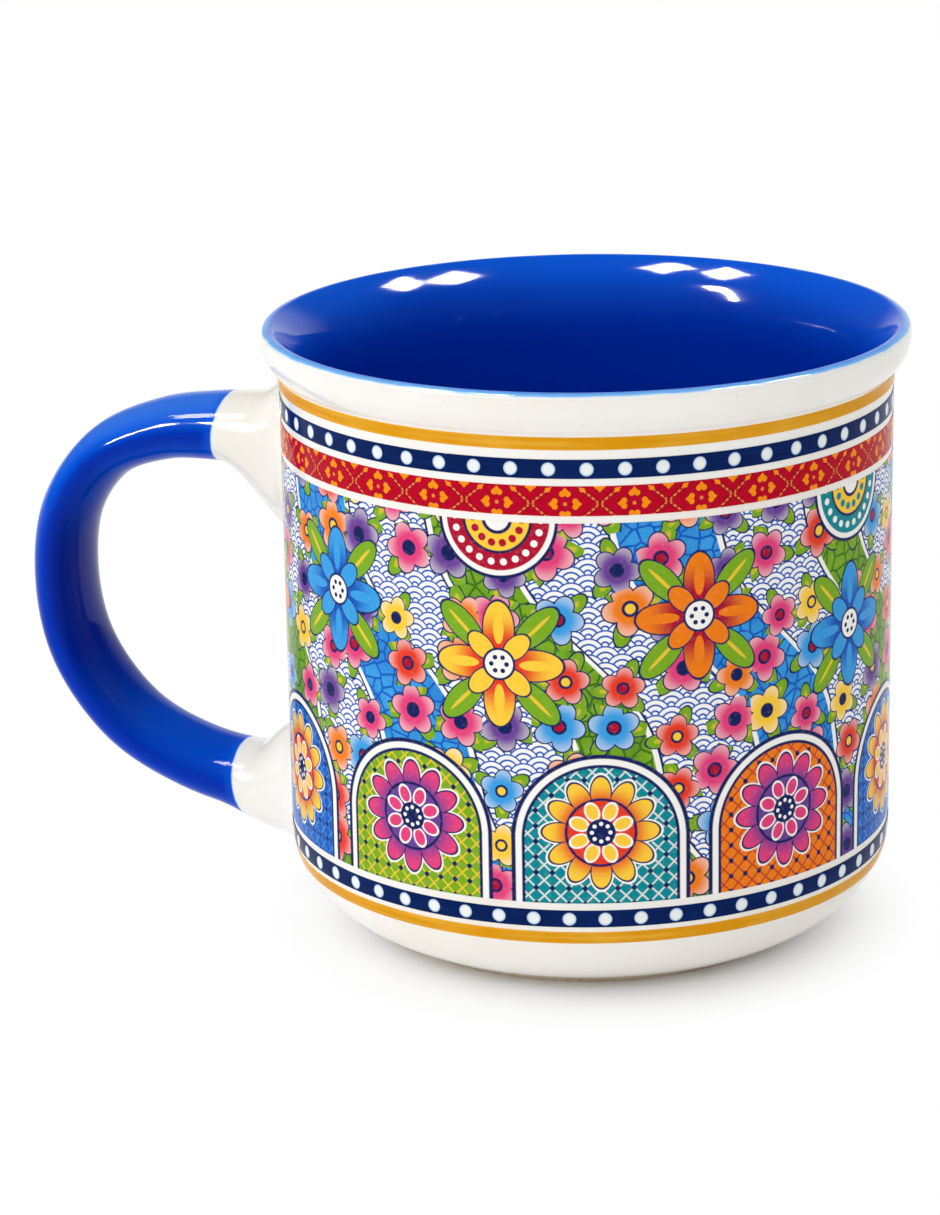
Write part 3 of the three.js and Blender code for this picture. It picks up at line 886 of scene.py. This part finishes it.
class Skin:
    """The cup's outline as (radius, height) points, from the foot over the lip to the floor."""

    def __init__(self):
        sizes = bpy.context.scene.mug_cup
        self.glaze = sizes.glaze / MM
        self.film = sizes.film / MM
        self.wall = PICTURE_RADIUS - self.film
        self.roll = sizes.lip_roll / MM
        self.lip_slope = sizes.lip_slope / MM
        self.overhang = sizes.lip_overhang / MM
        self.belly_height = sizes.belly_height / MM
        self.belly_depth = sizes.belly_depth / MM
        self.inner_corner = sizes.inner_corner / MM
        self.inner = self.wall - sizes.wall / MM
        self.neck = HEIGHT - sizes.neck / MM
        self.roll_middle = LIP_RADIUS - self.roll
        self.roll_height = HEIGHT - self.roll
        self.outer_points = [*self.belly(), *self.flare(), *self.roll_arc(0, GLAZE_MEETING, 5)[1:]]
        self.inner_points = [*self.roll_arc(GLAZE_MEETING, ROLL_END, 24), *self.inside()[1:]]

    def belly(self):
        """The rounded bottom, a quarter of an ellipse, and the straight wall above it."""
        lowest = math.asin(1 - GLAZE_END / self.belly_height)
        points = []
        for step in range(25):
            angle = lowest * (1 - step / 24)
            radius = self.wall - self.belly_depth * (1 - math.cos(angle))
            points.append((radius, self.belly_height * (1 - math.sin(angle))))
        rise = self.neck - self.belly_height
        return points + [(self.wall, self.belly_height + rise * step / 12) for step in range(1, 12)]

    def flare(self):
        """The neck, which swings out under the lip and then stands nearly upright."""
        gold_top = span("upper_gold_line", 2)[1]
        swing = self.roll_height - gold_top
        hung = [
            (0, self.neck),
            (0.04, self.neck + 1.31),
            (0.16, gold_top),
            (0.5, gold_top + swing * 0.2),
            (0.88, gold_top + swing * 0.52),
            (0.985, gold_top + swing * 0.8),
            (1.0, self.roll_height),
        ]
        through = [Vector((self.wall + self.overhang * out, height)) for out, height in hung]
        return [tuple(point) for point in curve_through(through, 7)]

    def roll_arc(self, start, end, steps):
        """Part of the lip's roll, from one angle to another in degrees."""
        points = []
        for step in range(steps + 1):
            angle = math.radians(start + (end - start) * step / steps)
            points.append(
                (
                    self.roll_middle + self.roll * math.cos(angle),
                    self.roll_height + self.roll * math.sin(angle),
                )
            )
        return points

    def inside(self):
        """The inside wall under the lip, the rounded corner and the floor."""
        run = self.roll_middle - self.roll * 0.85 - self.inner
        through = [Vector(point) for point in self.roll_arc(ROLL_END - 20, ROLL_END, 1)]
        for part, drop in ((0.68, 0.07), (0.33, 0.28), (0.1, 0.58), (0, 1), (0, 1.5)):
            through.append(Vector((self.inner + run * part, self.roll_height - self.lip_slope * drop)))
        points = [tuple(point) for point in curve_through(through, 8)[8:]]
        top = points[-1][1]
        floor = FLOOR_UNDERSIDE + self.glaze
        corner = floor + self.inner_corner
        points += [(self.inner, top + (corner - top) * step / 10) for step in range(1, 11)]
        for step in range(1, 25):
            angle = math.radians(90 * step / 24)
            radius = self.inner - self.inner_corner * (1 - math.cos(angle))
            points.append((radius, corner - self.inner_corner * math.sin(angle)))
        last = points[-1][0]
        return points + [(last * (1 - step / 8), floor) for step in range(1, 9)]

    def radius_at(self, height):
        """The outside radius at a height, with the wall's normal there as (radial, up)."""
        heights = [point[1] for point in self.outer_points]
        index = min(max(bisect.bisect(heights, height), 1), len(heights) - 1)
        (r0, z0), (r1, z1) = self.outer_points[index - 1 : index + 1]
        radius = r0 + (r1 - r0) * (height - z0) / (z1 - z0)
        slope = Vector((z1 - z0, r0 - r1)).normalized()
        return radius, slope


def moved(points, distance):
    """An outline moved along its normals, out from the clay or into it."""
    shifted = []
    for index, (radius, height) in enumerate(points):
        before = points[max(index - 1, 0)]
        after = points[min(index + 1, len(points) - 1)]
        run = Vector((after[0] - before[0], after[1] - before[1])).normalized()
        out = radius + run.y * distance if radius > 0 else 0
        shifted.append((out, height - run.x * distance))
    return shifted


def round_axis(radius, angle, height):
    """A place round the cup's axis, in metres."""
    x = AXIS_X + radius * math.cos(angle)
    return Vector((x * MM, radius * math.sin(angle) * MM, height * MM))


def grid_mesh(name, points, place, wrap_columns, wrap_rows, bake=None):
    """A mesh through a grid of points, with each corner's place on the print in millimetres."""
    columns = len(points)
    rows = len(points[0])
    faces = []
    corners = []
    for column in range(columns if wrap_columns else columns - 1):
        for row in range(rows if wrap_rows else rows - 1):
            square = [(column, row), (column + 1, row), (column + 1, row + 1), (column, row + 1)]
            faces.append([(i % columns) * rows + j % rows for i, j in square])
            corners.append(square)
    mesh = bpy.data.meshes.new(name)
    mesh.from_pydata([point for column in points for point in column], [], faces)
    layer = mesh.uv_layers.new(name=PRINT_MAP)
    layer.data.foreach_set("uv", [x for square in corners for corner in square for x in place(*corner)])
    if bake:
        baked = mesh.uv_layers.new(name=BAKE_MAP)
        baked.data.foreach_set("uv", [x for square in corners for spot in bake(square) for x in spot])
    weld(mesh)
    mesh.shade_smooth()
    mesh.set_sharp_from_angle(angle=SHARP_ANGLE)
    return mesh


def weld(mesh):
    """Joins the points that a turned outline leaves on the axis, and turns faces outwards."""
    work = bmesh.new()
    work.from_mesh(mesh)
    bmesh.ops.remove_doubles(work, verts=work.verts, dist=1e-7)
    if work.calc_volume(signed=True) < 0:
        bmesh.ops.reverse_faces(work, faces=work.faces)
    work.to_mesh(mesh)
    work.free()


def piece(mesh, material, node):
    """A piece of the mug that stands for a packed solid."""
    made = bpy.data.objects.new(mesh.name, mesh)
    bpy.context.collection.objects.link(made)
    mesh.materials.append(material)
    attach(made, BODY)
    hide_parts(node)
    return made


def turned_mesh(name, outline):
    """A closed outline turned about the cup's axis."""
    points = [
        [round_axis(radius, 2 * math.pi * step / TURNS, height) for radius, height in outline]
        for step in range(TURNS)
    ]
    lengths = [0.0]
    for one, other in zip(outline, outline[1:] + outline[:1]):
        lengths.append(lengths[-1] + math.dist(one, other))
    along = 2 * math.pi * PICTURE_RADIUS / TURNS
    return grid_mesh(name, points, lambda i, j: (i * along, lengths[j]), True, True)


class Handle:
    """The handle's spine in the plane y = 0 and the oval rings round it."""

    NEAR = 0.004  # a small share of the spine, for finding which way it runs
    ARM_LEAD = 1.25  # the arms are full this much sooner than at the spine's ends
    ARM_SWELL = 3  # power by which the grip swells into the arms
    LAST_DIP = 0.4  # share of the spine beyond which no dip's edge is looked for
    ROOT_SINK = 0.7  # share of the cup's glaze that a root's coat is sunk into

    # Out from the wall as a share of the reach, up from the lower arm as a share of the arms' gap
    ROUTE = (
        (-0.15, 1.0),
        (0.04, 1.0),
        (0.18, 1.0),
        (0.34, 1.0),
        (0.54, 0.985),
        (0.785, 0.913),
        (0.955, 0.755),
        (1.0, 0.545),
        (0.94, 0.335),
        (0.74, 0.145),
        (0.48, 0.045),
        (0.2, 0.0),
        (0.04, 0.0),
        (-0.15, 0.0),
    )

    def __init__(self, skin):
        self.sizes = bpy.context.scene.mug_handle
        self.skin = skin
        self.wall_x = AXIS_X - skin.wall
        reach = self.wall_x - GRIP_END - self.sizes.grip / MM - HAIR
        low = self.sizes.lower_arm / MM
        gap = self.sizes.upper_arm / MM - low
        route = [Vector((self.wall_x - reach * out, 0, low + gap * up)) for out, up in self.ROUTE]
        self.places = curve_through(route, ROUTE_STEPS)
        self.lengths = [0.0]
        for one, other in zip(self.places, self.places[1:]):
            self.lengths.append(self.lengths[-1] + (other - one).length)
        self.length = self.lengths[-1]

    def at(self, part):
        """The place at a share of the spine's length."""
        wanted = min(max(part, 0), 1) * self.length
        index = min(max(bisect.bisect(self.lengths, wanted), 1), len(self.lengths) - 1)
        before = self.lengths[index - 1]
        share_on = (wanted - before) / (self.lengths[index] - before)
        return self.places[index - 1].lerp(self.places[index], share_on)

    def spread(self, out, start, amount):
        """How far a root has spread at a distance out from the wall."""
        depth = self.sizes.root_depth / MM
        grown = min(max((start / MM - out) / (start / MM + depth), 0), 1)
        return amount / MM * grown * grown * (3 - 2 * grown)

    def surface(self, part, angle, under=0.0):
        """A place on the glaze, or under it, at a share of the spine and an angle round it."""
        sizes = self.sizes
        middle = self.at(part)
        run = (self.at(part + self.NEAR) - self.at(part - self.NEAR)).normalized()
        upright = Vector((run.z, 0, -run.x))
        out = self.wall_x - middle.x
        upper = part < 0.5
        arm = min(1, abs(2 * part - 1) * self.ARM_LEAD) ** self.ARM_SWELL
        radius = sizes.upper_radius if upper else sizes.lower_radius
        rod = (sizes.grip + (radius - sizes.grip) * arm) / MM - under
        if upright.z * math.cos(angle) > 0:
            start = sizes.upper_rise_start if upper else sizes.lower_rise_start
            amount = sizes.upper_rise if upper else sizes.lower_rise
        else:
            start = sizes.upper_fall_start if upper else sizes.lower_fall_start
            amount = sizes.upper_fall if upper else sizes.lower_fall
        soft = max(0, 1 - max(out, 0) / (sizes.fillet_length / MM)) ** 2 * sizes.fillet / MM
        tall = rod + self.spread(out, start, amount) + soft
        strap = sizes.strap / MM - under
        wide = strap + self.spread(out, sizes.side_flare_start, sizes.side_flare) + soft
        return middle + upright * tall * math.cos(angle) + Vector((0, wide * math.sin(angle), 0))

    def part_where(self, test, low, high):
        """The share of the spine between low and high at which a test turns from true to false."""
        for _ in range(HALVINGS):
            middle = (low + high) / 2
            if test(middle):
                low = middle
            else:
                high = middle
        return (low + high) / 2

    def dip_edge(self, angle, upper):
        """The share of the spine at which the dip's edge stands, for one angle round the handle."""
        sizes = self.sizes
        out = sizes.upper_dip if upper else sizes.lower_dip
        lean = sizes.upper_dip_lean if upper else sizes.lower_dip_lean
        out -= lean * math.cos(angle)

        def nearer(part):
            return self.wall_x - self.surface(part, angle).x < out / MM

        if upper:
            return self.part_where(nearer, 0, self.LAST_DIP)
        return self.part_where(nearer, 1, 1 - self.LAST_DIP)

    def wall_end(self, angle, inner, outer):
        """The share at which a line along the root meets the cup, just under its glaze."""

        def inside(part):
            place = self.surface(part, angle)
            depth = self.skin.radius_at(place.z)[0] - self.skin.glaze * self.ROOT_SINK
            return math.hypot(place.x - AXIS_X, place.y) < depth

        return self.part_where(inside, inner, outer)

    def sleeve(self, name, starts, ends, steps):
        """A closed coat of glaze, from each angle's start to its end along the spine."""
        glaze = self.skin.glaze
        points = []
        parts = []
        for step in range(AROUND_HANDLE):
            angle = 2 * math.pi * step / AROUND_HANDLE
            start, end = starts(angle), ends(angle)
            line = [start + (end - start) * row / steps for row in range(steps + 1)]
            outside = [self.surface(part, angle) * MM for part in line]
            inside = [self.surface(part, angle, glaze) * MM for part in line]
            points.append(outside + inside[::-1])
            parts.append(line + line[::-1])

        def place(column, row):
            line = parts[column % AROUND_HANDLE]
            part = line[row % len(line)]
            return (part - line[0]) * self.length, (line[steps] - part) * self.length

        return grid_mesh(name, points, place, True, True)


# Films


def film_mesh(name, skin, node, first=PRINT_FIRST, last=PRINT_LAST, rows=BAND_ROWS, rows_of_map=6):
    """A fired film on the cup between two angles, its edges turned down into the glaze.

    Its bake map is cut into rows that lie above one another.
    """
    low, high = span(node, 2)
    whole = last - first >= 360
    columns = RING_COLUMNS if whole else BAND_COLUMNS
    turned_in = 0.06
    sunk = -0.08
    raised = skin.film * 0.6
    heights = [low + turned_in + (high - low - 2 * turned_in) * row / rows for row in range(rows + 1)]
    levels = [(low, sunk), *((height, raised) for height in heights), (high, sunk)]
    start = math.radians(first)
    sweep = math.radians(last - first)
    angles = [(start + sweep * step / columns, 0) for step in range(columns if whole else columns + 1)]
    if not whole:
        tuck = turned_in / skin.wall
        angles = [(start - tuck, 1), *angles, (start + sweep + tuck, 1)]
    points = []
    for angle, is_end in angles:
        column = []
        for height, lift in levels:
            radius, normal = skin.radius_at(height)
            rise = sunk if is_end else lift
            column.append(round_axis(radius + normal.x * rise, angle, height + normal.y * rise))
        points.append(column)

    around = sweep * skin.wall
    offset = 0 if whole else 1

    def place(column, row):
        along = (column - offset) * around / columns
        return along, levels[min(row, len(levels) - 1)][0] - low

    def bake(square):
        per_row = columns // rows_of_map
        middle = min(max(square[0][0] - offset, 0), columns - 1)
        line = min(middle // per_row, rows_of_map - 1)
        spots = []
        for column, row in square:
            along = min(max(column - offset, 0), columns) - line * per_row
            up = row / (len(levels) - 1)
            u = BAKE_MARGIN / 4 + (1 - BAKE_MARGIN / 2) * along / per_row
            v = (line + BAKE_MARGIN + (1 - 2 * BAKE_MARGIN) * up) / rows_of_map
            spots.append((u, v))
        return spots

    return grid_mesh(name, points, place, whole, False, bake)


def from_print_start(angle, skin):
    """How far along a print, in millimetres, an angle round the cup lies."""
    return (angle - math.radians(PRINT_FIRST)) * skin.wall


# Operators


class MUG_OT_clay(Operator):
    """Make the bare clay body and give the hidden clay of the handle the same finish"""

    bl_idname = "mug.clay"
    bl_label = "Clay"

    def execute(self, context):
        sizes = context.scene.mug_cup
        skin = Skin()
        clay = clay_finish()
        outer = sizes.foot_outer / MM
        bevel = sizes.foot_bevel / MM
        inner = outer - sizes.foot_width / MM
        recess = inner - bevel
        soft_run = 0.5
        soft_drop = 0.4
        nick = bevel * 0.3
        foot = [(0, RECESS_TOP), (recess - soft_run, RECESS_TOP), (recess, RECESS_TOP - soft_drop)]
        foot += [(inner, bevel), (inner + bevel, 0), (outer - bevel, 0)]
        foot += [(outer - nick, nick), (outer, bevel)]
        outline = foot + moved(skin.outer_points + skin.inner_points[1:], -skin.glaze)
        piece(turned_mesh("clay_body_smooth", outline), clay, "clay_body")
        for node in ("handle_clay", "upper_slip_joint", "lower_slip_joint"):
            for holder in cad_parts[node].material_slots:
                holder.material = clay
        return {"FINISHED"}


class MUG_OT_cup_glazes(Operator):
    """Make the cream outer glaze, the blue liner and the glazed disc under the foot"""

    bl_idname = "mug.cup_glazes"
    bl_label = "Cup glazes"

    def execute(self, context):
        skin = Skin()
        cream = cream_finish()
        coat = skin.outer_points + moved(skin.outer_points, -skin.glaze)[::-1]
        piece(turned_mesh("outer_glaze_coat", coat), cream, "outer_glaze")
        liner = skin.inner_points + moved(skin.inner_points, -skin.glaze)[::-1]
        lip_end = math.radians(THIN_GLAZE_END - GLAZE_MEETING) * skin.roll
        piece(turned_mesh("liner_glaze_coat", liner), liner_finish(lip_end), "liner_glaze")
        edge = 0.25
        rim = BASE_GLAZE_RADIUS
        disc = [(0, BASE_GLAZE_LOW), (rim - edge, BASE_GLAZE_LOW), (rim, BASE_GLAZE_LOW + edge)]
        disc += [(rim, RECESS_TOP), (0, RECESS_TOP)]
        piece(turned_mesh("base_glaze_disc", disc), cream, "base_glaze")
        return {"FINISHED"}


class MUG_OT_handle(Operator):
    """Make the handle's cream roots and its blue dipped grip"""

    bl_idname = "mug.handle"
    bl_label = "Handle"

    def execute(self, context):
        handle = Handle(Skin())
        cream = cream_finish()

        def upper(angle):
            return handle.dip_edge(angle, True)

        def lower(angle):
            return handle.dip_edge(angle, False)

        def upper_wall(angle):
            return handle.wall_end(angle, 0, upper(angle))

        def lower_wall(angle):
            return handle.wall_end(angle, 1, lower(angle))

        root = handle.sleeve("upper_root_coat", upper_wall, upper, ROOT_STEPS)
        piece(root, cream, "upper_root_glaze")
        root = handle.sleeve("lower_root_coat", lower, lower_wall, ROOT_STEPS)
        piece(root, cream, "lower_root_glaze")
        grip = handle.sleeve("grip_coat", upper, lower, GRIP_STEPS)
        piece(grip, grip_finish(), "grip_glaze")
        return {"FINISHED"}


class MUG_OT_gold_lines(Operator):
    """Make the two ochre lines, under the lip and above the foot"""

    bl_idname = "mug.gold_lines"
    bl_label = "Gold lines"

    def execute(self, context):
        skin = Skin()
        low, high = span("upper_gold_line", 2)
        gold = gold_finish(high - low)
        upper = film_mesh("upper_gold_film", skin, "upper_gold_line", -180, 180)
        piece(upper, gold, "upper_gold_line")
        lower = film_mesh("lower_gold_film", skin, "lower_gold_line")
        piece(lower, gold, "lower_gold_line")
        return {"FINISHED"}


class MUG_OT_dotted_bands(Operator):
    """Make the two navy bands with their white dots"""

    bl_idname = "mug.dotted_bands"
    bl_label = "Dotted bands"

    def execute(self, context):
        skin = Skin()
        sizes = context.scene.mug_print_sizes
        rows = (
            ("upper", sizes.upper_dot_pitch, sizes.upper_dot_start),
            ("lower", sizes.lower_dot_pitch, sizes.lower_dot_start),
        )
        for name, pitch, start in rows:
            node = name + "_dotted_band"
            low, high = span(node, 2)
            first = from_print_start(start, skin)
            look = dotted_finish(name + "_navy_enamel", pitch * skin.wall, first, (high - low) / 2)
            film = film_mesh(name + "_dotted_film", skin, node)
            piece(film, look, node)
        return {"FINISHED"}


class MUG_OT_lattice_band(Operator):
    """Make the red band of dashed diamonds and hearts"""

    bl_idname = "mug.lattice_band"
    bl_label = "Lattice band"

    def execute(self, context):
        skin = Skin()
        start = from_print_start(context.scene.mug_print_sizes.lattice_start, skin)
        film = film_mesh("lattice_film", skin, "lattice_band")
        piece(film, lattice_finish(start), "lattice_band")
        return {"FINISHED"}


class MUG_OT_picture_wrap(Operator):
    """Make the printed wrap round the wall"""

    bl_idname = "mug.picture_wrap"
    bl_label = "Picture wrap"

    def execute(self, context):
        skin = Skin()
        low, high = span("picture_wrap", 2)
        film = film_mesh("picture_film", skin, "picture_wrap", rows=WRAP_ROWS, rows_of_map=2)
        around = math.radians(PRINT_LAST - PRINT_FIRST) * skin.wall
        piece(film, picture_finish(around, high - low), "picture_wrap")
        return {"FINISHED"}


class MUG_OT_stage(Operator):
    """Make the floor, the even daylight, the lamps and the camera"""

    bl_idname = "mug.stage"
    bl_label = "Stage"

    def execute(self, context):
        sizes = context.scene.mug_stage
        context.scene.view_settings.view_transform = "Standard"
        self.lay_floor(sizes)
        self.light_world(context, sizes)
        self.hang_lamps()
        self.set_camera(context, sizes)
        return {"FINISHED"}

    def seen(self, look):
        """Whether a ray is the camera's, and whether it was mirrored or let through, as 1 or 0."""
        path = look.node("ShaderNodeLightPath", {}, {})
        camera, glossy, through = (
            Value(look, path.outputs[name])
            for name in ("Is Camera Ray", "Is Glossy Ray", "Is Transmission Ray")
        )
        return camera, glossy | through

    def lay_floor(self, sizes):
        """A wide pale floor that takes the mug's shadow and is plain white further off."""
        mesh = bpy.data.meshes.new("floor")
        half = 6.0
        corners = [(-half, -half, 0), (half, -half, 0), (half, half, 0), (-half, half, 0)]
        mesh.from_pydata(corners, [], [(0, 1, 2, 3)])
        look = Finish("floor_paper", gloss=0.1)
        place = look.solid()
        tooth = look.noise(place, 0.004, 3)
        base = look.mix(tooth.rising(0.3, 0.7) * 0.5, sizes.floor, [level * 0.985 for level in sizes.floor])
        mesh.materials.append(look.lay(base, 0.85 + tooth * 0.1))
        x, y, _ = look.split(place)
        camera, mirrored = self.seen(look)
        fade_start = 0.028
        fade_end = 0.052
        away = across(x - AXIS_X * MM, y)
        off = away.rising(fade_start, fade_end) * (camera | mirrored)
        white = look.node("ShaderNodeEmission", {}, {"Color": (1, 1, 1), "Strength": 1})
        paper = look.shader.outputs[0]
        both = look.node("ShaderNodeMixShader", {}, {0: off, 1: paper, 2: white.outputs[0]})
        output = look.tree.nodes["Material Output"]
        look.feed(output.inputs["Surface"], both.outputs[0])
        floor = bpy.data.objects.new("floor", mesh)
        bpy.context.collection.objects.link(floor)

    def light_world(self, context, sizes):
        """A white backdrop, a dim room in front of it for the glazes to mirror, and an even light."""
        world = bpy.data.worlds.new("studio")
        context.scene.world = world
        world.use_nodes = True
        look = Look(world.node_tree)
        right, behind, height = look.split(look.node("ShaderNodeTexCoord", {}, {}).outputs["Generated"])
        backdrop = behind.rising(0.75, 0.95) * (1 - height.rising(0.25, 0.45))
        camera, mirrored = self.seen(look)
        even = sizes.daylight * (1 - right.rising(0, 1) * sizes.right_shade)
        dim = even + mirrored * (sizes.room - even)
        light = dim + (camera | (mirrored & backdrop)) * (1 - dim)
        background = world.node_tree.nodes["Background"]
        background.inputs["Color"].default_value = (1, 1, 1, 1)
        look.feed(background.inputs["Strength"], light)

    def hang_lamps(self):
        """Two lamps that light the mug, and six window panes that only show in its glazes."""
        for place in (
            # name, turn from the -Y side, lift, distance, width, height, watts, shows in the glazes
            ("soft_lamp", -14, 24, 1.1, 0.70, 0.50, 0.7, False),
            ("low_lamp", -40, 2, 1.1, 0.90, 0.12, 1.2, False),
            ("side_pane_low", -52, 30, 0.9, 0.05, 0.24, 32, True),
            ("side_pane_high", -50, 41, 0.9, 0.12, 0.14, 42, True),
            ("left_pane_one", -55, 71, 0.9, 0.20, 0.12, 9, True),
            ("left_pane_two", -78, 60, 0.9, 0.20, 0.12, 9, True),
            ("right_pane_one", 102, 60, 0.9, 0.20, 0.16, 12, True),
            ("right_pane_two", 124, 51, 0.9, 0.20, 0.12, 9, True),
        ):
            self.hang_lamp(*place)

    def hang_lamp(self, name, round_by, lift, away, wide, tall, power, is_window):
        """An area lamp that faces the cup's upper part."""
        target = Vector((AXIS_X * MM, 0, HEIGHT * MM * 0.8))
        around, up = math.radians(round_by), math.radians(lift)
        level = math.cos(up) * away
        place = target + Vector((math.sin(around) * level, -math.cos(around) * level, math.sin(up) * away))
        lamp = bpy.data.lights.new(name, "AREA")
        lamp.shape = "RECTANGLE"
        lamp.size = wide
        lamp.size_y = tall
        lamp.energy = power
        holder = bpy.data.objects.new(name, lamp)
        holder.location = place
        holder.rotation_mode = "QUATERNION"
        holder.rotation_quaternion = (target - place).to_track_quat("-Z", "Y")
        holder.visible_glossy = is_window
        holder.visible_diffuse = not is_window
        bpy.context.collection.objects.link(holder)

    def set_camera(self, context, sizes):
        """The camera at the photograph's viewing angle."""
        data = bpy.data.cameras.new("camera")
        data.sensor_fit = "VERTICAL"
        data.sensor_height = 36
        data.lens = sizes.camera_lens / MM
        camera = bpy.data.objects.new("camera", data)
        bpy.context.collection.objects.link(camera)
        place = Vector((AXIS_X * MM, 0, sizes.camera_height))
        around = sizes.camera_round
        place += sizes.camera_reach * Vector((math.sin(around), -math.cos(around), 0))
        heading = around + sizes.camera_aside
        down = sizes.camera_down
        level = math.cos(down)
        ahead = Vector((-math.sin(heading) * level, math.cos(heading) * level, -math.sin(down)))
        right = ahead.cross(Vector((0, 0, 1))).normalized()
        up = right.cross(ahead)
        roll = Matrix.Rotation(-sizes.camera_roll, 3, ahead)
        basis = Matrix((roll @ right, roll @ up, -ahead)).transposed()
        camera.matrix_world = Matrix.Translation(place) @ basis.to_4x4()
        data.clip_start = 0.01
        data.clip_end = 30
        context.scene.camera = camera


MAKERS = (
    MUG_OT_stage,
    MUG_OT_clay,
    MUG_OT_cup_glazes,
    MUG_OT_handle,
    MUG_OT_gold_lines,
    MUG_OT_dotted_bands,
    MUG_OT_lattice_band,
    MUG_OT_picture_wrap,
)

GROUPS = {
    "mug_cup": MugCupSizes,
    "mug_handle": MugHandleSizes,
    "mug_print_sizes": MugPrintSizes,
    "mug_glazes": MugGlazeColours,
    "mug_prints": MugPrintColours,
    "mug_stage": MugStageSizes,
}


class MUG_PT_sidebar(Panel):
    """The mug's makers and sizes"""

    bl_idname = "MUG_PT_sidebar"
    bl_label = "Mug"
    bl_space_type = "VIEW_3D"
    bl_region_type = "UI"
    bl_category = "Mug"

    def draw(self, context):
        for maker in MAKERS:
            self.layout.operator(maker.bl_idname)
        for name, group in GROUPS.items():
            column = self.layout.column(heading=group.__doc__)
            for size in group.__annotations__:
                column.prop(getattr(context.scene, name), size)


def register():
    for kind in (*GROUPS.values(), *MAKERS, MUG_PT_sidebar):
        bpy.utils.register_class(kind)
    for name, group in GROUPS.items():
        setattr(bpy.types.Scene, name, PointerProperty(type=group))


def unregister():
    for name in GROUPS:
        delattr(bpy.types.Scene, name)
    for kind in (MUG_PT_sidebar, *MAKERS, *GROUPS.values()):
        bpy.utils.unregister_class(kind)


def write_sizes():
    """Keeps the box of the packed solids and that of the dressed mug."""
    bpy.context.view_layer.update()


def main():
    register()
    bpy.ops.mug.stage()
    bpy.ops.mug.clay()
    bpy.ops.mug.cup_glazes()
    bpy.ops.mug.handle()
    bpy.ops.mug.gold_lines()
    bpy.ops.mug.dotted_bands()
    bpy.ops.mug.lattice_band()
    bpy.ops.mug.picture_wrap()
    write_sizes()


if __name__ == "__main__":
    main()
